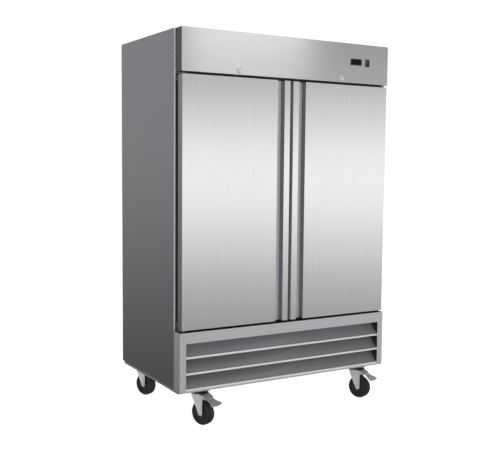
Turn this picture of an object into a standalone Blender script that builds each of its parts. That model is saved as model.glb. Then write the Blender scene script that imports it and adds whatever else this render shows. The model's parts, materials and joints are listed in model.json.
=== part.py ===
"""Two-door reach-in refrigerator on casters, with its condensing unit below the cabinet.

Metres, +Z up. The origin is on the floor under the middle of the whole box, pedals included, and the
doors face -Y.
"""

import math

import bmesh
import bpy
from mathutils import Matrix, Vector

# Overall size
WIDTH = 1.372
DEPTH = 0.815
HEIGHT = 2.120
PEDAL_REACH = 0.062
HALF = WIDTH / 2
FRONT = (PEDAL_REACH - DEPTH) / 2
BACK = FRONT + DEPTH

# Levels of the cabinet, from the floor up
FRAME_BOTTOM = 0.190
GRILLE_BOTTOM = 0.200
BODY_BOTTOM = 0.208
GRILLE_TOP = 0.526
DOOR_BOTTOM = 0.537
LINER_FLOOR = 0.586
OPENING_TOP = 1.836
DOOR_TOP = 1.882
HEADER_BOTTOM = 1.894
LINER_ROOF = 2.060

# Cabinet body
BODY_FRONT = FRONT + 0.075
SHEET = 0.0012
LINER = 0.001
GAP = 0.0003
FRONT_FLANGE = 0.036
REAR_FLANGE = 0.020
LINER_HALF = 0.626
LINER_BACK = BACK - 0.060
BEAM_BACK = BODY_FRONT + 0.060
MULLION_HALF = 0.055

# Doors and header: distances from the cabinet's middle plane
DOOR_DEPTH = 0.052
DOOR_INNER = 0.010
STRIP_END = 0.048
GRIP_END = 0.092
DOOR_OUTER = 0.674
HEADER_HALF = 0.6785
GRIP_DEPTH = 0.038
DOOR_BACK = FRONT + DOOR_DEPTH

# Door hinges
HINGE_X = 0.656
HINGE_Y = FRONT + 0.026
HINGE_PIN = 0.005
HINGE_PLATE = 0.004
PIN_LENGTH = 0.020

# Locks in the header
LOCK_X = 0.340
LOCK_Z = 1.917
LOCK_HEAD = 0.010
LOCK_BARREL = 0.0085
TONGUE_FRONT = FRONT + 0.030
TONGUE_REACH = 0.043

# Controls in the header: centre x, centre z, width, height
DISPLAY = (0.442, 2.016, 0.072, 0.030)
SWITCH = (0.524, 2.015, 0.024, 0.036)

# Louvred grille
STILE = 0.039
GRILLE_OPENING_TOP = 0.465
LIP_HEIGHT = 0.012
LIP_LEVELS = (0.214, 0.301, 0.388)
BLADE_RUN = 0.064
BLADE_RISE = 0.060

# Shelves
SHELF_LEVELS = (0.890, 1.190, 1.490)
SHELF_INNER = 0.012
SHELF_OUTER = 0.620
SHELF_FRONT = BODY_FRONT + 0.0705
SHELF_REAR = LINER_BACK - 0.0225
SHELF_THICK = 0.006

# Casters
FRONT_CASTER = (0.538, FRONT + 0.078)
REAR_CASTER = (0.585, BACK - 0.0575)
WHEEL_RADIUS = 0.0665
WHEEL_WIDTH = 0.040
TRAIL = 0.036
CASTER_YAW = math.radians(24)
WHEEL_SIDES = 32
AXLE_HEIGHT = WHEEL_RADIUS * math.cos(math.pi / WHEEL_SIDES)
AXLE_RADIUS = 0.006
KINGPIN = 0.0065
RACE = FRAME_BOTTOM - 0.020
PEDAL_PIVOT = (0.084, 0.1505)
PEDAL_DROOP = math.radians(28)
HOOD_HALF = 0.036
TO_BACK = Matrix.Rotation(math.radians(-90), 4, "X")
AXLE_TURN = Matrix.Rotation(math.radians(90), 4, "X")
AXLE_PLACE = Matrix.Translation((TRAIL, 0, AXLE_HEIGHT))

# Fans
HUB_RADIUS = 0.024
HUB_ROUND = 0.004
BLADES = 5
BLADE_HALF = 0.0012

# Machine space
MOTOR_RADIUS = 0.030
MOTOR_REACH = 0.025
FAN_OFFSET = 0.045
GLAND = (-0.600, 0.250)


def material(name, color, roughness, metallic):
    made = bpy.data.materials.new(name)
    made.use_nodes = True
    shader = made.node_tree.nodes["Principled BSDF"]
    shader.inputs["Base Color"].default_value = (*color, 1.0)
    shader.inputs["Roughness"].default_value = roughness
    shader.inputs["Metallic"].default_value = metallic
    return made


def node(name, bm, finish, origin=(0, 0, 0), smooth=False):
    """An object holding this bmesh, whose points are relative to origin."""
    bmesh.ops.recalc_face_normals(bm, faces=bm.faces)
    mesh = bpy.data.meshes.new(name)
    bm.to_mesh(mesh)
    bm.free()
    if smooth:
        mesh.shade_smooth()
        mesh.set_sharp_from_angle(angle=math.radians(35))
    made = bpy.data.objects.new(name, mesh)
    made.location = origin
    if finish:
        mesh.materials.append(finish)
    bpy.context.scene.collection.objects.link(made)
    return made


def add_box(bm, low, high):
    size = Vector(high) - Vector(low)
    middle = (Vector(high) + Vector(low)) / 2
    placed = Matrix.Translation(middle) @ Matrix.Diagonal((*size, 1))
    bmesh.ops.create_cube(bm, size=1, matrix=placed)


def add_prism(bm, outline, axis, start, end):
    """A solid whose outline lies across the given axis ('x', 'y' or 'z') from start to end."""
    place = {
        "x": lambda a, b, c: (c, a, b),
        "y": lambda a, b, c: (a, c, b),
        "z": lambda a, b, c: (a, b, c),
    }[axis]
    rings = [[bm.verts.new(place(a, b, at)) for a, b in outline] for at in (start, end)]
    count = len(outline)
    bm.faces.new(rings[0])
    bm.faces.new(rings[1])
    for i in range(count):
        j = (i + 1) % count
        bm.faces.new((rings[0][i], rings[0][j], rings[1][j], rings[1][i]))


def add_turned(bm, profile, segments, turn=None):
    """A solid of revolution about Z from (radius, height) points, closed at the axis or as a ring."""
    points = [bm.verts.new((r, 0, z)) for r, z in profile]
    hollow = all(r > 0 for r, _ in profile)
    ends = points + points[:1] if hollow else points
    edges = [bm.edges.new(pair) for pair in zip(ends, ends[1:])]
    bmesh.ops.spin(
        bm,
        geom=points + edges,
        cent=(0, 0, 0),
        axis=(0, 0, 1),
        angle=2 * math.pi,
        steps=segments,
        use_merge=True,
    )
    bmesh.ops.remove_doubles(bm, verts=bm.verts, dist=1e-6)
    if turn:
        bmesh.ops.transform(bm, matrix=turn, verts=bm.verts)


def block(name, low, high, finish):
    bm = bmesh.new()
    add_box(bm, low, high)
    return node(name, bm, finish)


def prism(name, outline, axis, start, end, finish):
    bm = bmesh.new()
    add_prism(bm, outline, axis, start, end)
    return node(name, bm, finish)


def turned(name, profile, segments, finish, origin=(0, 0, 0), turn=None):
    bm = bmesh.new()
    add_turned(bm, profile, segments, turn)
    return node(name, bm, finish, origin, smooth=True)


def pivoted(obj, pivot):
    """The same piece with its origin moved onto its joint axis."""
    obj.data.transform(Matrix.Translation(-Vector(pivot)))
    obj.location = pivot
    return obj


def helper(obj):
    obj.hide_render = True
    obj.display_type = "WIRE"
    return obj


def combine(obj, operation, other):
    change = obj.modifiers.new(operation.title(), "BOOLEAN")
    change.operation = operation
    change.solver = "EXACT"
    change.object = helper(other)
    return obj


def cut(obj, *others):
    for other in others:
        combine(obj, "DIFFERENCE", other)
    return obj


def unite(obj, *others):
    for other in others:
        combine(obj, "UNION", other)
    return obj


def mirrored(outline, side):
    return [(side * x, y) for x, y in outline]


def rod(name, radius, start, end, finish=None, segments=16):
    """A cylinder from one point to another, with its origin at the first of them."""
    along = Vector(end) - Vector(start)
    turn = along.to_track_quat("Z", "Y").to_matrix().to_4x4()
    profile = [(0, 0), (radius, 0), (radius, along.length), (0, along.length)]
    return turned(name, profile, segments, finish, start, turn)


def side_panel(side, name, finish):
    top = HEIGHT - SHEET - GAP
    outline = [
        (HALF, BODY_FRONT),
        (HALF, BACK),
        (HALF - REAR_FLANGE, BACK),
        (HALF - REAR_FLANGE, BACK - SHEET),
        (HALF - SHEET, BACK - SHEET),
        (HALF - SHEET, BODY_FRONT + SHEET),
        (HALF - FRONT_FLANGE, BODY_FRONT + SHEET),
        (HALF - FRONT_FLANGE, BODY_FRONT),
    ]
    return prism(name, mirrored(outline, side), "z", BODY_BOTTOM, top, finish)


def outer_skins(steel, galvanised):
    side_panel(-1, "left_side_panel", steel)
    side_panel(1, "right_side_panel", steel)
    block("top_panel", (-HALF, BODY_FRONT, HEIGHT - SHEET), (HALF, BACK, HEIGHT), steel)
    reach = HALF - REAR_FLANGE - GAP
    high = HEIGHT - SHEET - GAP
    block("rear_panel", (-reach, BACK - SHEET, GRILLE_TOP), (reach, BACK, high), galvanised)


def insulation(foam):
    """Foamed-in-place slabs between the liner and the skins."""
    front = BODY_FRONT + SHEET + GAP
    rear = BACK - SHEET - GAP
    top = HEIGHT - SHEET - 2 * GAP
    inner = LINER_HALF + LINER + GAP
    outer = HALF - SHEET - GAP
    between = LINER_HALF + LINER
    floor_top = LINER_FLOOR - LINER - GAP
    roof_bottom = LINER_ROOF + LINER + GAP
    block("left_wall_insulation", (-outer, front, GRILLE_TOP), (-inner, rear, top), foam)
    block("right_wall_insulation", (inner, front, GRILLE_TOP), (outer, rear, top), foam)
    block("floor_insulation", (-between, front, GRILLE_TOP), (between, rear, floor_top), foam)
    block("roof_insulation", (-between, front, roof_bottom), (between, rear, top), foam)
    low = (-between, LINER_BACK + LINER + GAP, floor_top + GAP)
    block("rear_wall_insulation", low, (between, rear, roof_bottom - GAP), foam)
    low = (-between + GAP, front, OPENING_TOP + LINER + GAP)
    high = (between - GAP, BEAM_BACK - LINER - GAP, roof_bottom - GAP)
    block("front_beam_insulation", low, high, foam)


def interior_liner(finish):
    """Sheet lining of the food compartment, with the flange that the door gaskets land on."""
    out = LINER_HALF + LINER
    behind = BODY_FRONT + LINER / 2
    low = (-out, behind, LINER_FLOOR - LINER)
    shell = block("interior_liner", low, (out, LINER_BACK + LINER, LINER_ROOF + LINER), finish)
    over_beam = block(
        "liner_beam_pocket",
        (-HALF, FRONT, OPENING_TOP + LINER),
        (HALF, BEAM_BACK - LINER, HEIGHT),
        None,
    )
    reach = HALF - FRONT_FLANGE - GAP
    flange = block(
        "liner_flange",
        (-reach, BODY_FRONT, GRILLE_TOP + 0.0015),
        (reach, BODY_FRONT + LINER, HEADER_BOTTOM - 0.004),
        None,
    )
    mouth = block(
        "liner_mouth",
        (-LINER_HALF, FRONT, LINER_FLOOR),
        (LINER_HALF, BEAM_BACK + LINER, OPENING_TOP),
        None,
    )
    hollow = block(
        "liner_hollow",
        (-LINER_HALF, BEAM_BACK, LINER_FLOOR),
        (LINER_HALF, LINER_BACK, LINER_ROOF),
        None,
    )
    cut(shell, over_beam)
    unite(shell, flange)
    cut(shell, mouth, hollow)


def centre_mullion(finish):
    """Open-ended sheet post that both doors close against."""
    low = LINER_FLOOR + GAP
    high = OPENING_TOP - GAP
    rear = BEAM_BACK - LINER - GAP
    post = block(
        "centre_mullion", (-MULLION_HALF, BODY_FRONT, low), (MULLION_HALF, rear, high), finish
    )
    bore = block(
        "mullion_bore",
        (-MULLION_HALF + SHEET, BODY_FRONT + SHEET, low - 0.01),
        (MULLION_HALF - SHEET, rear - SHEET, high + 0.01),
        None,
    )
    cut(post, bore)


def base_frame(finish):
    """Deck with a channel rail along its front and rear and a web at each side."""
    wall = 0.003
    lip = 0.010
    rail = 0.123
    front = FRONT + 0.0315
    rear = BACK - 0.012
    high = BODY_BOTTOM - GAP
    profile = [
        (0, high),
        (0, FRAME_BOTTOM),
        (rail, FRAME_BOTTOM),
        (rail, FRAME_BOTTOM + lip),
        (rail - wall, FRAME_BOTTOM + lip),
        (rail - wall, FRAME_BOTTOM + wall),
        (wall, FRAME_BOTTOM + wall),
        (wall, high - wall),
    ]
    front_rail = [(front + y, z) for y, z in profile]
    rear_rail = [(rear - y, z) for y, z in reversed(profile)]
    reach = HALF - 0.006
    frame = prism("base_frame", front_rail + rear_rail, "x", -reach, reach, finish)
    for side in (-1, 1):
        ends = sorted((side * reach, side * (reach - wall)))
        low = (ends[0], front + 0.001, FRAME_BOTTOM + 0.001)
        unite(frame, block("frame_web", low, (ends[1], rear - 0.001, high - 0.001), None))


def header_panel(finish):
    """Folded cover above the doors, open at its back, which carries the controls and the locks."""
    rear = BODY_FRONT - GAP
    shell = block(
        "header_panel", (-HEADER_HALF, FRONT, HEADER_BOTTOM), (HEADER_HALF, rear, HEIGHT), finish
    )
    hollow = block(
        "header_hollow",
        (-HEADER_HALF + SHEET, FRONT + SHEET, HEADER_BOTTOM + SHEET),
        (HEADER_HALF - SHEET, BACK, HEIGHT - SHEET),
        None,
    )
    cut(shell, hollow)
    for x, z, width, height in (DISPLAY, SWITCH):
        low = (x - width / 2 - GAP, FRONT - 0.01, z - height / 2 - GAP)
        high = (x + width / 2 + GAP, FRONT + 0.01, z + height / 2 + GAP)
        cut(shell, block("control_window", low, high, None))
    for side in (-1, 1):
        x = side * LOCK_X
        start = (x, FRONT - 0.01, LOCK_Z)
        hole = rod("lock_hole", LOCK_BARREL + 2 * GAP, start, (x, FRONT + 0.01, LOCK_Z))
        low = (x - 0.010, TONGUE_FRONT - 0.002, HEADER_BOTTOM - 0.01)
        high = (x + 0.044, TONGUE_FRONT + 0.0045, HEADER_BOTTOM + 0.01)
        cut(shell, hole, block("tongue_slot", low, high, None))


def temperature_controller(finish):
    """Display window that stands a little proud of the header, with its body behind."""
    x, z, width, height = DISPLAY
    low = (x - width / 2, FRONT - 0.001, z - height / 2)
    block("temperature_controller", low, (x + width / 2, FRONT + 0.055, z + height / 2), finish)


def power_switch(finish):
    """Rocker that turns about a crosswise pivot just behind the header's face."""
    x, z, width, height = SWITCH
    half = height / 2 - 0.0015
    pivot = (x, FRONT + 0.006, z)
    tilt = math.radians(10)
    face = -0.0058
    outline = [
        (face, 0),
        (face + half * math.tan(2 * tilt) * 0.98, -half * 0.98),
        (0.006, -half * 0.90),
        (0.012, 0),
        (0.006, half * 0.90),
        (face, half),
    ]
    bm = bmesh.new()
    add_prism(bm, outline, "x", -width / 2 + 0.0008, width / 2 - 0.0008)
    node("power_switch", bm, finish, pivot)


def door_lock(name, x, finish):
    """Lock plug with the tongue that turns down into the door's top edge."""
    length = TONGUE_FRONT - FRONT
    profile = [
        (0, -0.0015),
        (LOCK_HEAD, -0.0015),
        (LOCK_HEAD, -GAP),
        (LOCK_BARREL, -GAP),
        (LOCK_BARREL, length + 0.001),
        (0, length + 0.001),
    ]
    plug = turned(name, profile, 20, finish, (x, FRONT, LOCK_Z), TO_BACK)
    tongue = block(
        name + "_tongue",
        (x, TONGUE_FRONT, LOCK_Z - 0.006),
        (x + TONGUE_REACH, TONGUE_FRONT + 0.0025, LOCK_Z + 0.006),
        None,
    )
    unite(plug, tongue)


def hinge_bracket(name, side, end, finish):
    """Bracket on the cabinet's face with the pin that the door turns on. end is +1 at the top."""
    level = DOOR_TOP if end > 0 else DOOR_BOTTOM
    near = level + end * 0.004
    far = near + end * HINGE_PLATE
    wall = BODY_FRONT - GAP
    nose = 0.014
    outer = HEADER_HALF - 0.002
    inner = HINGE_X - nose
    arc = [math.radians(a) for a in range(0, 181, 20)]
    round_end = [(HINGE_X + nose * math.cos(a), HINGE_Y - nose * math.sin(a)) for a in arc]
    outline = [(inner, wall), (outer, wall), (outer, wall - 0.012)] + round_end
    low, high = sorted((near, far))
    plate = prism(name, mirrored(outline, side), "z", low, high, finish)
    xs = sorted((side * outer, side * HINGE_X))
    zs = sorted((far - end * 0.001, near - end * 0.040))
    leaf = block(name + "_leaf", (xs[0], wall - 0.003, zs[0]), (xs[1], wall - GAP, zs[1]), None)
    x, y = side * HINGE_X, HINGE_Y
    collar = rod(name + "_collar", 0.008, (x, y, near + end * 0.001), (x, y, level + end * GAP))
    tip = (x, y, level - end * PIN_LENGTH)
    pin = rod(name + "_pin", HINGE_PIN, (x, y, near + end * 0.002), tip)
    unite(plate, leaf, collar, pin)


def door_outline(inset, rear):
    """Plan of the right door's skin from its free edge outwards, set in by a distance all round."""
    floor = FRONT + GRIP_DEPTH
    return [
        (DOOR_INNER + inset, rear),
        (DOOR_INNER + inset, FRONT + inset),
        (STRIP_END - inset, FRONT + inset),
        (STRIP_END - inset, floor + inset),
        (GRIP_END + inset, floor + inset),
        (GRIP_END + inset, FRONT + inset),
        (DOOR_OUTER - inset, FRONT + inset),
        (DOOR_OUTER - inset, rear),
    ]


def hinge_holes(side):
    spot = (side * HINGE_X, HINGE_Y)
    radius = HINGE_PIN + 2 * GAP
    deep = PIN_LENGTH + 0.002
    return [
        rod("hinge_hole", radius, (*spot, DOOR_TOP + 0.01), (*spot, DOOR_TOP - deep)),
        rod("hinge_hole", radius, (*spot, DOOR_BOTTOM - 0.01), (*spot, DOOR_BOTTOM + deep)),
    ]


def keeper_slot(side):
    x = side * LOCK_X
    low = (x - 0.010, TONGUE_FRONT - 0.012, LOCK_Z - TONGUE_REACH - 0.004)
    high = (x + 0.034, TONGUE_FRONT + 0.0065, DOOR_TOP + 0.01)
    return block("keeper_slot", low, high, None)


def door(side, word, steel, foam, lining, rubber):
    """Skin with its recessed grip, foam core, inner panel and gasket, all hung on one axis."""
    pivot = (side * HINGE_X, HINGE_Y, 0)
    outside = mirrored(door_outline(0, DOOR_BACK), side)
    inside = mirrored(door_outline(SHEET, DOOR_BACK + 0.01), side)
    skin = prism(f"{word}_door_skin", outside, "z", DOOR_BOTTOM, DOOR_TOP, steel)
    hollow = prism(
        "door_hollow", inside, "z", DOOR_BOTTOM + SHEET, DOOR_TOP - SHEET, None
    )
    cut(pivoted(skin, pivot), hollow, *hinge_holes(side), keeper_slot(side))

    inset = SHEET + GAP
    filled = mirrored(door_outline(inset, DOOR_BACK - GAP), side)
    core = prism(
        f"{word}_door_core", filled, "z", DOOR_BOTTOM + inset, DOOR_TOP - inset, foam
    )
    cut(pivoted(core, pivot), *hinge_holes(side), keeper_slot(side))

    start = DOOR_BACK + GAP
    xs = sorted((side * (DOOR_INNER + 0.002), side * (DOOR_OUTER - 0.002)))
    low = (xs[0], start, DOOR_BOTTOM + 0.002)
    high = (xs[1], start + SHEET, DOOR_TOP - 0.002)
    panel = block(f"{word}_door_inner_panel", low, high, lining)
    seal = 0.024
    width = 0.016
    border = seal + width + 0.004
    rise = 0.012
    xs = sorted((side * (DOOR_INNER + border), side * (DOOR_OUTER - border)))
    dish = block(
        "panel_dish",
        (xs[0], start + SHEET / 2, DOOR_BOTTOM + border),
        (xs[1], start + rise, DOOR_TOP - border),
        None,
    )
    pocket = block(
        "panel_pocket",
        (xs[0] + SHEET, start - 0.01, DOOR_BOTTOM + border + SHEET),
        (xs[1] - SHEET, start + rise - SHEET, DOOR_TOP - border - SHEET),
        None,
    )
    unite(pivoted(panel, pivot), dish)
    cut(panel, pocket)

    xs = sorted((side * (DOOR_INNER + seal), side * (DOOR_OUTER - seal)))
    front = start + SHEET + GAP
    ring = block(
        f"{word}_door_gasket",
        (xs[0], front, DOOR_BOTTOM + seal),
        (xs[1], BODY_FRONT - GAP, DOOR_TOP - seal),
        rubber,
    )
    hole = block(
        "gasket_hole",
        (xs[0] + width, FRONT, DOOR_BOTTOM + seal + width),
        (xs[1] - width, BACK, DOOR_TOP - seal - width),
        None,
    )
    cut(pivoted(ring, pivot), hole)


def shelf(name, side, level, finish):
    """Wire shelf as a thin deck with open bays between its cross wires."""
    xs = sorted((side * SHELF_INNER, side * SHELF_OUTER))
    bm = bmesh.new()
    add_box(bm, (xs[0], SHELF_FRONT, level - SHELF_THICK), (xs[1], SHELF_REAR, level))
    deck = node(name, bm, finish)
    bays = 6
    bar = 0.012
    pitch = (SHELF_OUTER - SHELF_INNER - bar) / bays
    bm = bmesh.new()
    for i in range(bays):
        left = xs[0] + bar + i * pitch
        low = (left, SHELF_FRONT + bar, level - 0.02)
        add_box(bm, low, (left + pitch - bar, SHELF_REAR - bar, level + 0.02))
    cut(deck, node("shelf_bays", bm, None))


def fan(name, centre, radius, deep, finish):
    """Five-bladed fan on an axis along Y."""
    half = deep / 2
    root = HUB_RADIUS - HUB_ROUND
    profile = [
        (0, -half),
        (HUB_RADIUS, -half),
        (HUB_RADIUS, half - HUB_ROUND),
        (root, half),
        (0, half),
    ]
    body = turned(name, profile, 20, finish, centre, TO_BACK)
    bm = bmesh.new()
    steps = 4
    for b in range(BLADES):
        middle = 2 * math.pi * b / BLADES
        rows = []
        for i in range(steps + 1):
            part = i / steps
            r = root + (radius - root) * part
            spread = math.radians(20 + 14 * part)
            pitch = deep * (0.42 - 0.08 * part)
            row = []
            for angle, height in ((-spread, -pitch), (spread, pitch)):
                for face in (-BLADE_HALF, BLADE_HALF):
                    a = middle + angle
                    row.append(bm.verts.new((r * math.sin(a), height + face, r * math.cos(a))))
            rows.append([row[0], row[1], row[3], row[2]])
        bm.faces.new(rows[0])
        bm.faces.new(rows[-1])
        for one, two in zip(rows, rows[1:]):
            for i in range(4):
                j = (i + 1) % 4
                bm.faces.new((one[i], one[j], two[j], two[i]))
    bmesh.ops.triangulate(bm, faces=bm.faces)
    unite(body, node(name + "_blades", bm, None, centre))


def evaporator(housing_finish, fan_finish):
    """Coil box under the compartment's roof, open at its rear, with two fans in its front wall."""
    low = (-0.450, LINER_BACK - 0.4075, 1.875)
    high = (0.450, LINER_BACK - GAP, LINER_ROOF - GAP)
    wall = 0.0015
    shell = block("evaporator_housing", low, high, housing_finish)
    hollow = block(
        "housing_hollow",
        (low[0] + wall, low[1] + wall, low[2] + wall),
        (high[0] - wall, high[1] + 0.01, high[2] - wall),
        None,
    )
    cut(shell, hollow)
    level = (low[2] + high[2]) / 2
    for side, word in ((-1, "left"), (1, "right")):
        x = side * 0.225
        start = (x, low[1] - 0.01, level)
        hole = rod("fan_hole", 0.078, start, (x, low[1] + 0.01, level), None, 32)
        cut(shell, hole)
        spot = (x, low[1] + 0.018, level)
        fan(f"{word}_evaporator_fan", spot, 0.072, 0.028, fan_finish)


def condensing_unit(black, fin_finish, fan_finish, pan_finish):
    """Compressor, condenser with its fan, and the pan that the melt water dries off in."""
    deck = BODY_BOTTOM + GAP
    profile = [
        (0, 0.012),
        (0.070, 0.012),
        (0.088, 0.030),
        (0.090, 0.105),
        (0.093, 0.106),
        (0.093, 0.114),
        (0.090, 0.115),
        (0.084, 0.165),
        (0.060, 0.196),
        (0.020, 0.208),
        (0, 0.208),
    ]
    spot = (0.360, BACK - 0.2375, deck)
    shell = turned("compressor", profile, 24, black, spot)
    low = (spot[0] - 0.110, spot[1] - 0.100, deck)
    feet = block("compressor_feet", low, (spot[0] + 0.110, spot[1] + 0.100, deck + 0.018), None)
    unite(shell, feet)

    front = BODY_FRONT + 0.042
    low = (-0.560, front, deck)
    high = (-0.180, front + 0.080, 0.490)
    coil = block("condenser_coil", low, high, fin_finish)
    x, rear, z = (low[0] + high[0]) / 2, high[1], 0.352
    motor_end = (x, rear + MOTOR_REACH, z)
    unite(coil, rod("condenser_motor", MOTOR_RADIUS, (x, rear - 0.005, z), motor_end))
    fan("condenser_fan", (x, rear + FAN_OFFSET, z), 0.120, 0.034, fan_finish)

    low = (-0.560, BACK - 0.4475, deck)
    high = (-0.140, BACK - 0.1075, deck + 0.045)
    wall = 0.002
    pan = block("condensate_pan", low, high, pan_finish)
    hollow = block(
        "pan_hollow",
        (low[0] + wall, low[1] + wall, low[2] + wall),
        (high[0] - wall, high[1] - wall, high[2] + 0.01),
        None,
    )
    cut(pan, hollow)


def rear_service_cover(finish, gland_finish):
    """Slotted cover over the machine space, set in so that the cord gland stays within the depth."""
    reach = HALF - SHEET - GAP
    outer = BACK - 0.022
    low = (-reach, outer - SHEET, BODY_BOTTOM + 0.004)
    cover = block("rear_service_cover", low, (reach, outer, GRILLE_TOP - 0.004), finish)
    bm = bmesh.new()
    for side in (-1, 1):
        for row in range(6):
            z = 0.270 + 0.036 * row
            middle = side * 0.300
            add_box(bm, (middle - 0.16, outer - 0.01, z), (middle + 0.16, outer + 0.01, z + 0.012))
    cut(cover, node("vent_slots", bm, None))
    x, z = GLAND
    cut(cover, rod("gland_hole", 0.0105, (x, outer - 0.01, z), (x, outer + 0.01, z)))
    profile = [
        (0.0045, -0.014),
        (0.0100, -0.014),
        (0.0100, GAP),
        (0.0140, GAP),
        (0.0140, 0.007),
        (0.0110, 0.016),
        (0.0060, 0.020),
        (0.0045, 0.020),
    ]
    turned("cord_gland", profile, 16, gland_finish, (x, outer, z), TO_BACK)


def front_grille(finish):
    """Portal frame with three blades that rise backwards from a front lip."""
    rear = BODY_FRONT - GAP
    inner = HALF - STILE
    portal = [
        (-HALF, BODY_BOTTOM),
        (-inner, BODY_BOTTOM),
        (-inner, GRILLE_OPENING_TOP),
        (inner, GRILLE_OPENING_TOP),
        (inner, BODY_BOTTOM),
        (HALF, BODY_BOTTOM),
        (HALF, GRILLE_TOP),
        (-HALF, GRILLE_TOP),
    ]
    frame = prism("front_grille", portal, "y", FRONT, rear, finish)
    hollow = [
        (-HALF + SHEET, BODY_BOTTOM - 0.01),
        (-inner - SHEET, BODY_BOTTOM - 0.01),
        (-inner - SHEET, GRILLE_OPENING_TOP + SHEET),
        (inner + SHEET, GRILLE_OPENING_TOP + SHEET),
        (inner + SHEET, BODY_BOTTOM - 0.01),
        (HALF - SHEET, BODY_BOTTOM - 0.01),
        (HALF - SHEET, GRILLE_TOP - SHEET),
        (-HALF + SHEET, GRILLE_TOP - SHEET),
    ]
    cut(frame, prism("grille_hollow", hollow, "y", FRONT + SHEET, BACK, None))
    for level in LIP_LEVELS:
        low = level - LIP_HEIGHT / 2
        high = level + LIP_HEIGHT / 2
        front = FRONT + 0.0005
        outline = [
            (front, low),
            (front, high),
            (front + BLADE_RUN, high + BLADE_RISE),
            (front + BLADE_RUN, high + BLADE_RISE - 0.002),
            (front + SHEET, high - 0.002),
            (front + SHEET, low),
        ]
        reach = inner + SHEET / 2
        unite(frame, prism("grille_blade", outline, "x", -reach, reach, None))
    low = (-HALF + SHEET / 2, FRONT + SHEET / 2, GRILLE_BOTTOM)
    high = (HALF - SHEET / 2, FRONT + 0.020, BODY_BOTTOM + 0.004)
    unite(frame, block("grille_sill", low, high, None))


def leg_outline(crown):
    """Side of a fork leg in the caster's own frame: wide at the crown, round at the axle."""
    nose = 0.013
    arc = [math.radians(a) for a in range(-10, -171, -20)]
    round_end = [(TRAIL + nose * math.cos(a), AXLE_HEIGHT + nose * math.sin(a)) for a in arc]
    return [(-0.030, crown), (0.050, crown)] + round_end


def caster_matrix(spot):
    """The caster's own frame: Z is the kingpin, and +X points from it over the wheel."""
    turn = Matrix.Rotation(CASTER_YAW - math.radians(90), 4, "Z")
    return Matrix.Translation((*spot, 0)) @ turn


def caster_piece(name, bm, finish, spot, smooth=False, place=Matrix()):
    """A piece given in the caster's own frame, whose origin is moved there by place."""
    made = node(name, bm, finish, smooth=smooth)
    made.matrix_world = caster_matrix(spot) @ place
    return made


def caster_plate(word, spot, finish):
    """Bolted top plate with its upper race and the kingpin."""
    top = FRAME_BOTTOM - GAP
    profile = [
        (0, RACE - 0.009),
        (KINGPIN, RACE - 0.009),
        (KINGPIN, RACE),
        (0.026, RACE),
        (0.030, RACE + 0.004),
        (0.030, top - 0.001),
        (0, top - 0.001),
    ]
    bm = bmesh.new()
    add_box(bm, (-0.050, -0.0425, top - 0.0045), (0.050, 0.0425, top))
    plate = node(f"{word}_caster_plate", bm, finish, (*spot, 0))
    unite(plate, turned("kingpin", profile, 20, None, (*spot, 0)))


def caster_fork(word, spot, braked, finish):
    """Crown, two legs and the axle, with a hood over the wheel where there is a brake."""
    crown = RACE - GAP
    gap = WHEEL_WIDTH / 2 + 0.0035
    wall = 0.003
    bm = bmesh.new()
    add_box(bm, (-0.030, -gap - wall, crown - 0.004), (0.050, gap + wall, crown))
    fork = caster_piece(f"{word}_caster_fork", bm, finish, spot)
    for side in (-1, 1):
        ys = sorted((side * gap, side * (gap + wall)))
        bm = bmesh.new()
        add_prism(bm, leg_outline(crown - 0.0005), "y", *ys)
        unite(fork, caster_piece("fork_leg", bm, None, spot))
    if braked:
        end_x, end_z = PEDAL_PIVOT[0] - 0.003, PEDAL_PIVOT[1] + 0.001
        hood = [
            (0.040, crown - 0.0005),
            (0.052, crown - 0.0005),
            (end_x, end_z),
            (end_x - 0.002, end_z - 0.0025),
            (0.040, crown - 0.0035),
        ]
        bm = bmesh.new()
        add_prism(bm, hood, "y", -HOOD_HALF, HOOD_HALF)
        unite(fork, caster_piece("fork_hood", bm, None, spot))
    reach = gap + wall + 0.004
    axle = [(0, -reach), (AXLE_RADIUS, -reach), (AXLE_RADIUS, reach), (0, reach)]
    bm = bmesh.new()
    add_turned(bm, axle, 12, AXLE_TURN)
    unite(fork, caster_piece("axle", bm, None, spot, True, AXLE_PLACE))
    radius = KINGPIN + 2 * GAP
    low, high = RACE - 0.02, RACE + 0.02
    bm = bmesh.new()
    add_turned(bm, [(0, low), (radius, low), (radius, high), (0, high)], 16)
    cut(fork, caster_piece("kingpin_hole", bm, None, spot))


def caster_wheel(word, spot, finish):
    half = WHEEL_WIDTH / 2
    bore = AXLE_RADIUS + 2 * GAP
    side = [
        (bore, half + 0.002),
        (0.016, half + 0.002),
        (0.018, half - 0.006),
        (0.046, half - 0.006),
        (0.050, half),
        (WHEEL_RADIUS - 0.004, half),
        (WHEEL_RADIUS, half - 0.005),
    ]
    profile = [(r, -z) for r, z in side] + [(r, z) for r, z in reversed(side)]
    flat_down = Matrix.Rotation(math.radians(180 / WHEEL_SIDES), 4, "Z")
    bm = bmesh.new()
    add_turned(bm, profile, WHEEL_SIDES, AXLE_TURN @ flat_down)
    caster_piece(f"{word}_caster_wheel", bm, finish, spot, True, AXLE_PLACE)


def brake_pedal(word, spot, finish):
    """Fan-shaped foot pedal that pivots at the end of the fork's hood."""
    length = 0.062
    half = [(0.0, 0.025), (0.014, 0.026), (length - 0.014, 0.046), (length - 0.003, 0.036)]
    outline = half + [(length, 0.0)] + [(x, -y) for x, y in reversed(half)]
    bm = bmesh.new()
    add_prism(bm, outline, "z", -0.0015, 0.0015)
    at_pivot = Matrix.Translation((PEDAL_PIVOT[0], 0, PEDAL_PIVOT[1]))
    droop = Matrix.Rotation(PEDAL_DROOP, 4, "Y")
    caster_piece(f"{word}_brake_pedal", bm, finish, spot, place=at_pivot @ droop)


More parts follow.
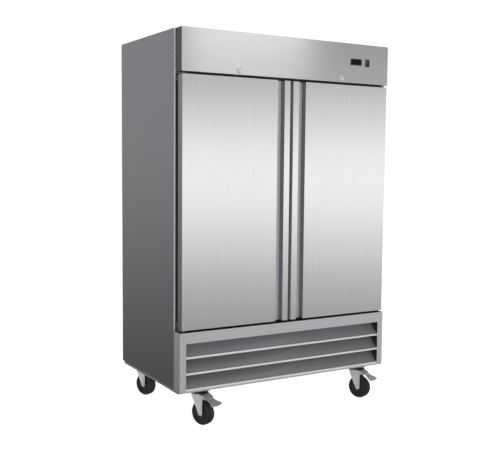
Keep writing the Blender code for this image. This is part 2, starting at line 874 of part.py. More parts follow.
def caster(word, spot, braked, zinc, tread):
    caster_plate(word, spot, zinc)
    caster_fork(word, spot, braked, zinc)
    caster_wheel(word, spot, tread)
    if braked:
        brake_pedal(word, spot, zinc)


def build():
    for old in list(bpy.data.objects):
        bpy.data.objects.remove(old)
    steel = material("stainless_steel", (0.62, 0.62, 0.62), 0.30, 1.0)
    side_steel = material("side_panel_steel", (0.33, 0.33, 0.34), 0.40, 1.0)
    galvanised = material("galvanised_steel", (0.52, 0.53, 0.54), 0.45, 1.0)
    lining = material("aluminium_lining", (0.72, 0.72, 0.72), 0.42, 1.0)
    foam = material("insulation_foam", (0.86, 0.80, 0.62), 0.90, 0.0)
    rubber = material("gasket_rubber", (0.05, 0.05, 0.055), 0.70, 0.0)
    black = material("black_enamel", (0.02, 0.02, 0.02), 0.35, 0.0)
    wire = material("coated_wire", (0.75, 0.76, 0.77), 0.35, 0.0)
    fins = material("coil_fins", (0.60, 0.62, 0.64), 0.40, 1.0)
    plastic = material("black_plastic", (0.02, 0.02, 0.022), 0.40, 0.0)
    zinc = material("zinc_plate", (0.48, 0.48, 0.49), 0.38, 1.0)
    tread = material("wheel_tread", (0.03, 0.03, 0.03), 0.60, 0.0)
    chrome = material("lock_chrome", (0.75, 0.75, 0.76), 0.15, 1.0)

    outer_skins(side_steel, galvanised)
    insulation(foam)
    interior_liner(lining)
    centre_mullion(steel)
    base_frame(galvanised)
    header_panel(steel)
    temperature_controller(plastic)
    power_switch(plastic)
    door_lock("left_door_lock", -LOCK_X, chrome)
    door_lock("right_door_lock", LOCK_X, chrome)
    front_grille(steel)
    for side, word in ((-1, "left"), (1, "right")):
        door(side, word, steel, foam, lining, rubber)
        hinge_bracket(f"{word}_top_hinge", side, 1, zinc)
        hinge_bracket(f"{word}_bottom_hinge", side, -1, zinc)
        for place, level in zip(("lower", "middle", "upper"), SHELF_LEVELS):
            shelf(f"{word}_{place}_shelf", side, level, wire)
        for end, (x, y) in (("front", FRONT_CASTER), ("rear", REAR_CASTER)):
            caster(f"{end}_{word}", (side * x, y), end == "front", zinc, tread)
    evaporator(lining, plastic)
    condensing_unit(black, fins, plastic, plastic)
    rear_service_cover(galvanised, plastic)


build()
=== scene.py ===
"""Finished look of the two-door reach-in refrigerator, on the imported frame.

Metres, +Z up, and the doors face -Y.
"""

import json
import math

import bmesh
import bpy
from mathutils import Matrix, Vector


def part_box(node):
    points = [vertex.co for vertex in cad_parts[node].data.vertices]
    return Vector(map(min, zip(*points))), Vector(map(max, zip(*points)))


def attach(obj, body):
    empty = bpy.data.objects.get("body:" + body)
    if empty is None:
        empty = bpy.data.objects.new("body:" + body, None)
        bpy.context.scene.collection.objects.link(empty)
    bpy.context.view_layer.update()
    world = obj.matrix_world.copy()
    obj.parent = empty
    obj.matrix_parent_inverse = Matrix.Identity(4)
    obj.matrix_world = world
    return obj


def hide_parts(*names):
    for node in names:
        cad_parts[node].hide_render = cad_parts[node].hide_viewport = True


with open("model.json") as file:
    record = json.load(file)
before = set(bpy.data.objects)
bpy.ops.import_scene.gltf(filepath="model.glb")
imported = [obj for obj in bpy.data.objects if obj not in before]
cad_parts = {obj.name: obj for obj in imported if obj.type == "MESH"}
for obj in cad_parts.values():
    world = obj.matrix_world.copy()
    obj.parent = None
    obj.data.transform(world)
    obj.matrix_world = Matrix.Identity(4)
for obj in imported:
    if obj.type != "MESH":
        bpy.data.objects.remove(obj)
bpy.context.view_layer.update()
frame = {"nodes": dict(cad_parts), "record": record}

# Places shared with the CAD model
GAP = 0.0003
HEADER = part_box("header_panel")
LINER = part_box("interior_liner")
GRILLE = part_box("front_grille")
FRONT = HEADER[0].y
BODY_FRONT = HEADER[1].y + GAP
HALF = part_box("top_panel")[1].x
HEADER_HALF = HEADER[1].x
DOOR_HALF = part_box("right_door_skin")[1].x
LINER_HALF = 0.626
LINER_BACK = LINER[1].y - 0.001
DOOR_BACK = FRONT + 0.052
DOOR_BOTTOM = 0.537
DOOR_TOP = 1.882
LOCK_X = 0.340
LOCK_Z = 1.917
HINGE_X = 0.656
HINGE_Y = FRONT + 0.026
SIDES = ((-1, "left"), (1, "right"))
SHELF_LEVELS = (("lower", 0.890), ("middle", 1.190), ("upper", 1.490))
JOINTS = {joint["name"]: joint for joint in frame["record"]["behaviour"]["joints"]}

# Casters, in each one's own frame: +X points from the kingpin over the wheel
CASTERS = ("front_left", "front_right", "rear_left", "rear_right")
CASTER_TURN = Matrix.Rotation(math.radians(24 - 90), 4, "Z")
TRAIL = 0.036
WHEEL_WIDTH = 0.040
CROWN = 0.170
PEDAL_PIVOT = (0.084, 0.1505)

# Door grip: a channel between two distances from the middle, and its floor
GRIP = (0.048, 0.092)
GRIP_FLOOR = FRONT + 0.038
DOOR_FREE_EDGE = 0.010

# Header: centres of the display and the switch, in x and z
DISPLAY = (0.442, 2.016)
SWITCH = (0.524, 2.015)

# Grille: opening of its surround, and the middle of each blade's lip
STILE = 0.039
SILL = 0.008
VENT_TOP = 0.465
BLADE_LEVELS = (0.214, 0.301, 0.388)
HALF_LIP = 0.006


# Light. The surround's strength runs over the sine of elevation, and less of it comes
# from the doors' side. That side has a lit ground of its own and a bright band near eye
# level, given as strength, level and half-width. A fill comes from both ends of the x axis,
# its edge given in the square of the direction's x.
SURROUND = (0.15, 0.66, -0.26, 0.0)
SURROUND_SHARE = (0.35, 1.0, -0.2, 0.7)
SURROUND_WAY = (-0.51, 0.86, 0.0)
GROUND = (0.335, 0.07, -0.12, 0.05)
BAND = (1.02, -0.010, 0.110)
BAND_WAY = (0.25, -0.97, 0.0)
BAND_EDGE = (0.40, 0.75)
SIDE_FILL = 0.24
SIDE_FILL_EDGE = (0.55, 0.92)


# ---------------------------------------------------------------- shading

def add(mat, kind, inputs=None, **settings):
    """A new shader node. Inputs are numbers, colours or other nodes' outputs."""
    made = mat.node_tree.nodes.new(kind)
    for key, value in settings.items():
        setattr(made, key, value)
    for key, value in (inputs or {}).items():
        if isinstance(value, bpy.types.NodeSocket):
            mat.node_tree.links.new(value, made.inputs[key])
        else:
            made.inputs[key].default_value = value
    return made


def principled(name, color, metallic, roughness, **constants):
    """A Principled material, with any further sockets set by name."""
    made = bpy.data.materials.new(name)
    made.use_nodes = True
    shader = made.node_tree.nodes["Principled BSDF"]
    shader.inputs["Base Color"].default_value = (*color, 1)
    shader.inputs["Metallic"].default_value = metallic
    shader.inputs["Roughness"].default_value = roughness
    for key, value in constants.items():
        shader.inputs[key.replace("_", " ")].default_value = value
    return made


def shader_of(mat):
    return mat.node_tree.nodes["Principled BSDF"]


def coordinates(mat, stretch=(1, 1, 1)):
    """The object's own coordinates in metres, multiplied along each axis."""
    source = add(mat, "ShaderNodeTexCoord")
    return add(mat, "ShaderNodeMapping", {"Vector": source.outputs["Object"], "Scale": stretch}).outputs[0]


def noise(mat, stretch, detail=4.0, roughness=0.55, distortion=0.0):
    """Noise whose repeats per metre along each axis are given by stretch."""
    inputs = {
        "Vector": coordinates(mat, stretch),
        "Scale": 1.0,
        "Detail": detail,
        "Roughness": roughness,
        "Distortion": distortion,
    }
    return add(mat, "ShaderNodeTexNoise", inputs).outputs["Fac"]


def spread(mat, value, low, high, start=0.25, end=0.75):
    """The value carried from start..end to low..high."""
    inputs = {"Value": value, "From Min": start, "From Max": end, "To Min": low, "To Max": high}
    return add(mat, "ShaderNodeMapRange", inputs).outputs[0]


def arithmetic(mat, operation, one, two):
    return add(mat, "ShaderNodeMath", {0: one, 1: two}, operation=operation).outputs[0]


def blend_color(mat, factor, dark, light):
    made = add(mat, "ShaderNodeMix", data_type="RGBA")
    mat.node_tree.links.new(factor, made.inputs["Factor"])
    for socket, color in (("A", dark), ("B", light)):
        target = [i for i in made.inputs if i.name == socket and i.type == "RGBA"][0]
        if isinstance(color, bpy.types.NodeSocket):
            mat.node_tree.links.new(color, target)
        else:
            target.default_value = (*color, 1)
    return [o for o in made.outputs if o.type == "RGBA"][0]


def drive(mat, socket, output):
    mat.node_tree.links.new(output, shader_of(mat).inputs[socket])


def relief(mat, *layers):
    """Bump layers of (height, metres), one on another."""
    normal = None
    for height, distance in layers:
        inputs = {"Height": height, "Distance": distance, "Strength": 1.0}
        if normal:
            inputs["Normal"] = normal
        normal = add(mat, "ShaderNodeBump", inputs).outputs[0]
    drive(mat, "Normal", normal)


def scaled(color, factor):
    return tuple(min(1.0, c * factor) for c in color)


def brushed(name, color, roughness, grain, metallic=1.0, depth=1.0, stretch=0.6):
    """Brushed sheet whose grain runs along one axis, with handling marks and slight waviness."""
    along = {"x": 0, "y": 1, "z": 2}[grain]
    fine = [700.0] * 3
    broad = [70.0] * 3
    fine[along] = 6.0
    broad[along] = 0.9
    mat = principled(name, color, metallic, roughness, Anisotropic=stretch)
    if grain == "x":
        shader_of(mat).inputs["Anisotropic Rotation"].default_value = 0.25
    hair = noise(mat, fine, 3.0, 0.6)
    band = noise(mat, broad, 3.0, 0.6)
    smudge = noise(mat, (5.0, 5.0, 4.0), 5.0, 0.6, 0.4)
    hair = arithmetic(mat, "MULTIPLY", hair, 0.6)
    both = arithmetic(mat, "ADD", hair, arithmetic(mat, "MULTIPLY", band, 0.4))
    streaks = spread(mat, both, 0, 1, 0.3, 0.7)
    drive(mat, "Base Color", blend_color(mat, streaks, scaled(color, 0.97), scaled(color, 1.03)))
    dull = spread(mat, both, roughness - 0.02, roughness + 0.02)
    drive(mat, "Roughness", arithmetic(mat, "ADD", dull, spread(mat, smudge, -0.01, 0.015)))
    wave = noise(mat, (1.7, 1.7, 1.3), 1.0, 0.4)
    relief(mat, (wave, 0.0003 * depth), (both, 0.000002 * depth))
    return mat


def galvanised(name, color):
    """Zinc-coated sheet with its flat crystals."""
    mat = principled(name, color, 1.0, 0.42)
    crystal = add(mat, "ShaderNodeTexVoronoi", {"Vector": coordinates(mat), "Scale": 55.0})
    tone = add(mat, "ShaderNodeSeparateColor", {0: crystal.outputs["Color"]}).outputs[0]
    cloud = noise(mat, (4, 4, 4), 4.0)
    tone = arithmetic(mat, "MULTIPLY", tone, 0.5)
    mixed = arithmetic(mat, "ADD", tone, arithmetic(mat, "MULTIPLY", cloud, 0.5))
    drive(mat, "Base Color", blend_color(mat, mixed, scaled(color, 0.82), scaled(color, 1.15)))
    drive(mat, "Roughness", spread(mat, mixed, 0.34, 0.52, 0, 1))
    relief(mat, (noise(mat, (300, 300, 300)), 0.00002))
    return mat


def grained(name, color, metallic, roughness, repeats, depth, **constants):
    """Moulded, cast or coated surface with a fine even texture and slight cloudiness."""
    mat = principled(name, color, metallic, roughness, **constants)
    texture = noise(mat, (repeats,) * 3, 3.0, 0.6)
    cloud = noise(mat, (9, 9, 9), 4.0, 0.6)
    clouded = spread(mat, cloud, 0, 1)
    drive(mat, "Base Color", blend_color(mat, clouded, scaled(color, 0.86), scaled(color, 1.14)))
    grain = spread(mat, texture, -0.05, 0.05)
    dull = spread(mat, cloud, roughness - 0.05, roughness + 0.05)
    drive(mat, "Roughness", arithmetic(mat, "ADD", grain, dull))
    relief(mat, (texture, depth))
    return mat


def worn(name, color, roughness, edge, metallic=1.0):
    """Plated metal, brighter where its edges are rubbed."""
    mat = principled(name, color, metallic, roughness)
    cloud = noise(mat, (40, 40, 40), 5.0, 0.6)
    pointed = spread(mat, add(mat, "ShaderNodeNewGeometry").outputs["Pointiness"], 0, 1, 0.50, 0.58)
    mixed = blend_color(mat, spread(mat, cloud, 0, 1), scaled(color, 0.80), scaled(color, 1.12))
    drive(mat, "Base Color", blend_color(mat, pointed, mixed, edge))
    drive(mat, "Roughness", spread(mat, cloud, roughness - 0.08, roughness + 0.10))
    relief(mat, (noise(mat, (900, 900, 900), 2.0), 0.00002))
    return mat


def wheel_rubber(name, color):
    """Tread compound with fine turning rings and a little floor dust."""
    mat = principled(name, color, 0.0, 0.5)
    dust = noise(mat, (60, 60, 60), 6.0, 0.65)
    dusty = spread(mat, dust, 0, 1, 0.45, 0.8)
    drive(mat, "Base Color", blend_color(mat, dusty, color, scaled(color, 2.4)))
    drive(mat, "Roughness", spread(mat, dust, 0.42, 0.66))
    relief(mat, (noise(mat, (500, 500, 500), 2.0), 0.00006))
    return mat


# Every material. The steels differ in tone and in their grain's direction; several are darker or lighter
# copies of one stainless steel that carry painted shade or painted highlights, as marked below.
DOOR_STEEL = brushed("door_steel", (0.665, 0.645, 0.66), 0.17, "z")
HEADER_STEEL = brushed("header_steel", (0.54, 0.537, 0.55), 0.22, "x", stretch=0.88)
GRILLE_STEEL = brushed("grille_steel", (0.67, 0.665, 0.69), 0.34, "x")
# Painted shade: a darker, less metallic copy of the grille steel for the recessed blades
SHADED_BLADE_STEEL = brushed("blade_steel_painted_shade", (0.40, 0.40, 0.425), 0.45, "x", 0.45)
# Painted highlight: a near-white copy of the grille steel for the blades' front lips
LIT_LIP_STEEL = brushed("lip_steel_painted_highlight", (0.97, 0.965, 0.99), 0.34, "x")
# Painted shade: a much darker copy of the door steel for faces turned away from the doors' side
SHADED_SIDE_STEEL = brushed("side_steel_painted_shade", (0.295, 0.288, 0.31), 0.34, "z")
# Painted light: a lighter copy of the steel for the floor of the doors' grip channel
LIT_CHANNEL_STEEL = brushed("channel_steel_painted_light", (0.90, 0.89, 0.92), 0.45, "z", 0.7)
# Painted shade: a near-black copy of the steel for the header's end faces and the grille's top face in the
# gap under the doors
SHADED_RETURN_STEEL = brushed("return_steel_painted_shade", (0.10, 0.098, 0.107), 0.35, "z")
# Painted shade: a darker copy of the steel for the doors' free edges in the gap between the doors
SHADED_EDGE_STEEL = brushed("edge_steel_painted_shade", (0.42, 0.41, 0.43), 0.55, "z", 0.2)
# Painted highlight: a near-white copy of the steel for the body's front edges beside the doors and header
LIT_FLANGE_STEEL = brushed("flange_steel_painted_highlight", (0.92, 0.91, 0.95), 0.55, "z", 0.2)
LINING = brushed("lining", (0.72, 0.72, 0.73), 0.38, "x")
ZINC_SHEET = galvanised("zinc_sheet", (0.50, 0.51, 0.52))
FOAM = grained("foam", (0.80, 0.72, 0.50), 0.0, 0.9, 420, 0.0004)
GASKET = grained("gasket", (0.100, 0.098, 0.104), 0.0, 0.55, 700, 0.00003)
ENAMEL = grained("enamel", (0.016, 0.016, 0.017), 0.0, 0.32, 160, 0.00006, Coat_Weight=0.3)
WIRE = grained("wire", (0.62, 0.63, 0.64), 0.0, 0.32, 500, 0.00002, Coat_Weight=0.4)
FINS = brushed("fins", (0.62, 0.64, 0.66), 0.38, "z", 1.0, 0.2)
PLASTIC = grained("plastic", (0.022, 0.022, 0.024), 0.0, 0.42, 900, 0.00004)
ROCKER = grained("rocker", (0.035, 0.045, 0.040), 0.0, 0.35, 900, 0.00002)
WINDOW = grained("window", (0.004, 0.004, 0.006), 0.0, 0.16, 60, 0.000002, Specular_IOR_Level=0.15)
PLATED = worn("plated", (0.72, 0.72, 0.74), 0.44, (0.92, 0.92, 0.92), 0.65)
# Painted shade: a near-black copy of the plated zinc for hinges, caster plates, races and plate bolts
# under the body
SHADED_ZINC = worn("zinc_painted_shade", (0.10, 0.10, 0.10), 0.5, (0.25, 0.25, 0.25))
CHROME = worn("chrome", (0.78, 0.78, 0.79), 0.12, (0.90, 0.90, 0.90))
RUBBER = wheel_rubber("rubber", (0.011, 0.011, 0.012))
HUB = grained("hub", (0.018, 0.018, 0.019), 0.0, 0.45, 500, 0.00005)


# ---------------------------------------------------------------- mesh code

def add_box(bm, low, high):
    size = Vector(high) - Vector(low)
    place = Matrix.Translation((Vector(high) + Vector(low)) / 2) @ Matrix.Diagonal((*size, 1))
    bmesh.ops.create_cube(bm, size=1, matrix=place)


def add_prism(bm, outline, axis, start, end, place=None):
    """A solid whose outline lies across the given axis ('x', 'y' or 'z')."""
    at = {
        "x": lambda a, b, c: Vector((c, a, b)),
        "y": lambda a, b, c: Vector((a, c, b)),
        "z": lambda a, b, c: Vector((a, b, c)),
    }[axis]
    place = place or Matrix()
    rings = [[bm.verts.new(place @ at(a, b, c)) for a, b in outline] for c in (start, end)]
    bm.faces.new(rings[0])
    bm.faces.new(rings[1])
    for i in range(len(outline)):
        j = (i + 1) % len(outline)
        bm.faces.new((rings[0][i], rings[0][j], rings[1][j], rings[1][i]))


def add_lathe(bm, profile, segments, place):
    """A round solid from (radius, height) points about Z, then placed."""
    rings = []
    for r, z in profile:
        if r < 1e-6:
            rings.append([bm.verts.new(place @ Vector((0, 0, z)))])
            continue
        turns = [2 * math.pi * i / segments for i in range(segments)]
        rings.append([bm.verts.new(place @ Vector((r * math.cos(a), r * math.sin(a), z))) for a in turns])
    closed = rings + rings[:1] if len(rings[0]) > 1 and len(rings[-1]) > 1 else rings
    for one, two in zip(closed, closed[1:]):
        for i in range(segments):
            j = (i + 1) % segments
            corners = [one[i % len(one)], one[j % len(one)], two[j % len(two)], two[i % len(two)]]
            bm.faces.new(list(dict.fromkeys(corners)))


def add_tube(bm, points, radius, sides=8, loop=False):
    """A round wire through the points, closed into a loop or capped at both ends."""
    points = [Vector(p) for p in points]
    count = len(points)
    rings = []
    side = None
    for i, point in enumerate(points):
        before = points[i - 1] if i or loop else point
        after = points[(i + 1) % count] if i < count - 1 or loop else point
        along = (after - before).normalized()
        if side is None:
            side = along.orthogonal().normalized()
        side = (side - along * side.dot(along)).normalized()
        up = along.cross(side)
        turns = [2 * math.pi * k / sides for k in range(sides)]
        spokes = [math.cos(a) * side + math.sin(a) * up for a in turns]
        rings.append([bm.verts.new(point + radius * spoke) for spoke in spokes])
    pairs = list(zip(rings, rings[1:]))
    if loop:
        pairs.append((rings[-1], rings[0]))
    else:
        bm.faces.new(rings[0])
        bm.faces.new(rings[-1])
    for one, two in pairs:
        for k in range(sides):
            m = (k + 1) % sides
            bm.faces.new((one[k], one[m], two[m], two[k]))


def rounded(points, radius, steps=5):
    """The points with each inner corner drawn as an arc-like curve."""
    points = [Vector(p) for p in points]
    out = [points[0]]
    for a, b, c in zip(points, points[1:], points[2:]):
        into = (a - b).normalized() * min(radius, (a - b).length / 2)
        away = (c - b).normalized() * min(radius, (c - b).length / 2)
        for i in range(steps + 1):
            t = i / steps
            out.append(b + into * (1 - t) ** 2 + away * t ** 2)
    return out + [points[-1]]


def rounded_frame(width, height, radius, steps=4):
    """Corner-rounded rectangle about the origin, as (x, z) points."""
    out = []
    for turn, (sx, sz) in enumerate(((1, 1), (-1, 1), (-1, -1), (1, -1))):
        for i in range(steps + 1):
            a = math.radians(90) * (turn + i / steps)
            x = sx * (width / 2 - radius) + radius * math.cos(a)
            out.append((x, sz * (height / 2 - radius) + radius * math.sin(a)))
    return out


def add_ring_prism(bm, outer, inner, y0, y1, spot):
    """A flat frame between two outlines of equal count, across Y."""
    loops = []
    for outline, y in ((outer, y0), (outer, y1), (inner, y1), (inner, y0)):
        loops.append([bm.verts.new((spot[0] + x, y, spot[1] + z)) for x, z in outline])
    for one, two in zip(loops, loops[1:] + loops[:1]):
        for i in range(len(outer)):
            j = (i + 1) % len(outer)
            bm.faces.new((one[i], one[j], two[j], two[i]))


def make(name, bm, smooth=None):
    """A linked object from the bmesh, smooth below the given angle in degrees."""
    bmesh.ops.recalc_face_normals(bm, faces=bm.faces)
    mesh = bpy.data.meshes.new(name)
    bm.to_mesh(mesh)
    bm.free()
    if smooth:
        mesh.shade_smooth()
        mesh.set_sharp_from_angle(angle=math.radians(smooth))
    made = bpy.data.objects.new(name, mesh)
    bpy.context.scene.collection.objects.link(made)
    return made


def bevel(obj, width, segments=3):
    change = obj.modifiers.new("edges", "BEVEL")
    change.width = width
    change.segments = segments
    change.limit_method = "ANGLE"
    change.angle_limit = math.radians(32)
    change.harden_normals = True


def piece(name, bm, finish, body, smooth=35, edge=0.0, replaces=()):
    """A new piece on a CAD body, with rounded edges where edge is given."""
    made = make(name, bm, smooth)
    made.data.materials.append(finish)
    if edge:
        bevel(made, edge)
    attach(made, body)
    if replaces:
        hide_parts(*replaces)
    return made


def carve(obj, *cutters):
    """The object with these bmesh solids taken away, as plain mesh."""
    for bm in cutters:
        tool = make("cutter", bm)
        change = obj.modifiers.new("cut", "BOOLEAN")
        change.operation = "DIFFERENCE"
        change.solver = "EXACT"
        change.object = tool
        view = bpy.context.evaluated_depsgraph_get()
        mesh = bpy.data.meshes.new_from_object(obj.evaluated_get(view))
        obj.modifiers.clear()
        obj.data = mesh
        bpy.data.objects.remove(tool)
    return obj


def box_mesh(low, high):
    bm = bmesh.new()
    add_box(bm, low, high)
    return bm


def facing(point, direction):
    """Placement that turns +Z to the direction, at the point."""
    turn = Vector(direction).to_track_quat("Z", "Y").to_matrix().to_4x4()
    return Matrix.Translation(point) @ turn


# ---------------------------------------------------------------- CAD pieces that stay

def finish_cad(names, finish, edge=0.0):
    for name in names:
        obj = frame["nodes"][name]
        obj.data.materials.clear()
        obj.data.materials.append(finish)
        if edge:
            bevel(obj, edge, 2)


# Side and top panels in the darker steel copy: painted shade
finish_cad(("left_side_panel", "right_side_panel"), SHADED_SIDE_STEEL, 0.0005)
finish_cad(("top_panel",), SHADED_SIDE_STEEL, 0.0005)
finish_cad(("rear_panel", "rear_service_cover", "base_frame"), ZINC_SHEET, 0.0004)
finish_cad([f"{w}_wall_insulation" for w in ("left", "right", "rear")], FOAM)
finish_cad([f"{w}_insulation" for w in ("floor", "roof", "front_beam")], FOAM)
finish_cad(("interior_liner", "evaporator_housing"), LINING, 0.0003)
finish_cad(("centre_mullion",), DOOR_STEEL, 0.0004)
finish_cad(("condensate_pan", "cord_gland", "temperature_controller"), PLASTIC, 0.0004)
finish_cad(("left_door_inner_panel", "right_door_inner_panel"), LINING, 0.0004)
finish_cad(("condenser_fan", "left_evaporator_fan", "right_evaporator_fan"), PLASTIC, 0.0003)
finish_cad(("left_door_lock", "right_door_lock"), CHROME, 0.0003)
# Hinges and caster plates in the near-black zinc copy: painted shade
finish_cad([f"{w}_{e}_hinge" for _, w in SIDES for e in ("top", "bottom")], SHADED_ZINC, 0.0005)
finish_cad([f"{c}_caster_plate" for c in CASTERS], SHADED_ZINC, 0.0005)
finish_cad([f"{c}_caster_fork" for c in CASTERS], PLATED, 0.0006)
finish_cad(("power_switch",), ROCKER, 0.0008)


# ---------------------------------------------------------------- header and its controls

def header():
    """Cover above the doors with holes for switch and locks, its end faces in near-black steel as painted
    shade, and the body's edges beside it in near-white steel as a painted highlight.
    """
    x, z = SWITCH
    low = (x - 0.0123, FRONT - 0.01, z - 0.0183)
    cutters = [box_mesh(low, (x + 0.0123, FRONT + 0.04, z + 0.0183))]
    for side, _ in SIDES:
        spot = side * LOCK_X
        hole = [(0, -0.01), (0.0091, -0.01), (0.0091, 0.045), (0, 0.045)]
        bm = bmesh.new()
        add_lathe(bm, hole, 32, facing((spot, FRONT, LOCK_Z), (0, 1, 0)))
        cutters.append(bm)
        low = (spot - 0.012, FRONT + 0.026, HEADER[0].z - 0.01)
        cutters.append(box_mesh(low, (spot + 0.046, FRONT + 0.038, HEADER[0].z + 0.035)))
    bm = bmesh.new()
    add_box(bm, (-HEADER_HALF, FRONT, HEADER[0].z), (HEADER_HALF, BODY_FRONT - GAP, HEADER[1].z))
    shell = carve(make("header_shell", bm), *cutters)
    shell.data.materials.append(HEADER_STEEL)
    shell.data.materials.append(SHADED_RETURN_STEEL)
    # The header's end faces get the near-black steel: painted shade
    for face in shell.data.polygons:
        end = abs(face.normal.x) > 0.9 and abs(face.center.x) > HEADER_HALF - 0.001
        face.material_index = 1 if end else 0
    bevel(shell, 0.0016)
    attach(shell, "cabinet")
    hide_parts("header_panel")
    # The body's front edges beside the header and doors, in near-white steel: a painted highlight
    bm = bmesh.new()
    for side in (-1, 1):
        xs = sorted((side * (HEADER_HALF + 0.0002), side * (HALF - 0.0002)))
        low = (xs[0], BODY_FRONT - 0.0015, GRILLE[1].z + 0.0006)
        add_box(bm, low, (xs[1], BODY_FRONT - 0.0002, HEADER[1].z - 0.0004))
    piece("body_front_edges", bm, LIT_FLANGE_STEEL, "cabinet", edge=0.0003)


def controls():
    """Display, switch surround and the faces of the two locks, each with a dark bar painted as the
    keyway's shade.
    """
    bm = bmesh.new()
    outer, inner = rounded_frame(0.080, 0.038, 0.004), rounded_frame(0.0700, 0.0280, 0.002)
    add_ring_prism(bm, outer, inner, FRONT - 0.0022, FRONT + 0.0002, DISPLAY)
    piece("display_bezel", bm, PLASTIC, "cabinet", edge=0.0006)
    bm = bmesh.new()
    pane = [(DISPLAY[0] + x, DISPLAY[1] + z) for x, z in rounded_frame(0.0698, 0.0278, 0.002)]
    add_prism(bm, pane, "y", FRONT - 0.0015, FRONT)
    piece("display_window", bm, WINDOW, "cabinet", edge=0.0003)
    bm = bmesh.new()
    outer, inner = rounded_frame(0.031, 0.043, 0.003), rounded_frame(0.0236, 0.0356, 0.001)
    add_ring_prism(bm, outer, inner, FRONT - 0.0020, FRONT + 0.012, SWITCH)
    piece("switch_bezel", bm, PLASTIC, "cabinet", edge=0.0005)
    for side, word in SIDES:
        spot = side * LOCK_X
        bm = bmesh.new()
        ring = [(0.0104, -0.0002), (0.0104, 0.0012), (0.0118, 0.0018), (0.0140, 0.0012), (0.0146, -0.0002)]
        add_lathe(bm, ring, 40, facing((spot, FRONT, LOCK_Z), (0, -1, 0)))
        piece(f"{word}_lock_ring", bm, CHROME, "cabinet")
        bm = bmesh.new()
        disc = [(0, 0.0014), (0.0092, 0.0014), (0.0092, 0.0019), (0.0086, 0.0024), (0, 0.0024)]
        add_lathe(bm, disc, 40, facing((spot, FRONT, LOCK_Z), (0, -1, 0)))
        piece(f"{word}_lock_face", bm, CHROME, f"{word}_lock")
        # A thin near-black bar on the lock face for the keyway's shade: painted shade
        bm = bmesh.new()
        low = (spot - 0.0007, FRONT - 0.00255, LOCK_Z - 0.0042)
        add_box(bm, low, (spot + 0.0007, FRONT - 0.0020, LOCK_Z + 0.0042))
        piece(f"{word}_keyway_shade", bm, WINDOW, f"{word}_lock", edge=0.0002)


# ---------------------------------------------------------------- louvred grille

def grille():
    """Surround with three sloped, lipped blades, black end plates and dark strips at the doors' ends. The
    blades' darker steel, the lips' near-white steel, the black end plates, the dark strips and the
    surround's near-black top face are painted shade and painted highlights.
    """
    low, high = GRILLE
    rear = BODY_FRONT - GAP
    inner = HALF - STILE
    body_bottom = low.z + SILL
    portal = [
        (-HALF, body_bottom),
        (-inner, body_bottom),
        (-inner, VENT_TOP),
        (inner, VENT_TOP),
        (inner, body_bottom),
        (HALF, body_bottom),
        (HALF, high.z),
        (-HALF, high.z),
    ]
    bm = bmesh.new()
    add_prism(bm, portal, "y", FRONT, rear)
    surround = piece("grille_surround", bm, GRILLE_STEEL, "cabinet", edge=0.0014)
    surround.data.materials.append(SHADED_RETURN_STEEL)
    # The surround's top face, in the gap under the doors, gets the near-black steel: painted shade
    for face in surround.data.polygons:
        face.material_index = 1 if face.normal.z > 0.9 and face.center.z > high.z - 0.001 else 0
    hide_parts("front_grille")
    bm = bmesh.new()
    corner = (HALF - 0.0006, FRONT + 0.020, body_bottom + 0.002)
    add_box(bm, (-HALF + 0.0006, FRONT + 0.0006, low.z), corner)
    piece("grille_sill", bm, GRILLE_STEEL, "cabinet", edge=0.0008)
    blades, lips, ends = bmesh.new(), bmesh.new(), bmesh.new()
    reach = inner - 0.0002
    for level in BLADE_LEVELS:
        foot, top = level - HALF_LIP, level + HALF_LIP
        front, deep = FRONT + 0.0060, FRONT + 0.0645
        slope = [(front, top - 0.002), (deep, top + 0.060), (deep, top + 0.058), (front, top - 0.004)]
        add_prism(blades, slope, "x", -reach, reach)
        nose = [
            (FRONT + 0.0080, foot),
            (FRONT + 0.0016, foot),
            (FRONT + 0.0008, foot + 0.0006),
            (FRONT + 0.0006, foot + 0.0014),
            (FRONT + 0.0018, top - 0.0012),
            (FRONT + 0.0023, top - 0.0004),
            (FRONT + 0.0032, top),
            (FRONT + 0.0080, top),
        ]
        add_prism(lips, nose, "x", -reach, reach)
    # Black plates at both ends of the opening, where there is only shade: painted shade
    for side in (-1, 1):
        xs = sorted((side * (inner - 0.0008), side * (inner + 0.0002)))
        add_box(ends, (xs[0], FRONT + 0.0022, body_bottom), (xs[1], rear - 0.001, VENT_TOP))
    # Blades in the darker steel copy, painted shade; lips in the near-white copy, painted highlight
    piece("grille_blades", blades, SHADED_BLADE_STEEL, "cabinet", edge=0.0004)
    piece("grille_lips", lips, LIT_LIP_STEEL, "cabinet")
    piece("grille_shade_plates", ends, PLASTIC, "cabinet")
    # Dark strips in the gaps above and below the doors, where there is only shade: painted shade
    bm = bmesh.new()
    near, far = BODY_FRONT - 0.006, BODY_FRONT - 0.0006
    for foot, top in ((HEADER[0].z - 0.0102, HEADER[0].z - 0.0002), (high.z + 0.0002, high.z + 0.0095)):
        add_box(bm, (-0.640, near, foot), (0.640, far, top))
    piece("gap_shade_strips", bm, GASKET, "cabinet", edge=0.0012)


# ---------------------------------------------------------------- doors

def door_outline(side, rear):
    """Plan of a door from its free edge outwards."""
    points = [
        (DOOR_FREE_EDGE, rear),
        (DOOR_FREE_EDGE, FRONT),
        (GRIP[0], FRONT),
        (GRIP[0], GRIP_FLOOR),
        (GRIP[1], GRIP_FLOOR),
        (GRIP[1], FRONT),
        (DOOR_HALF, FRONT),
        (DOOR_HALF, rear),
    ]
    return [(side * x, y) for x, y in points]


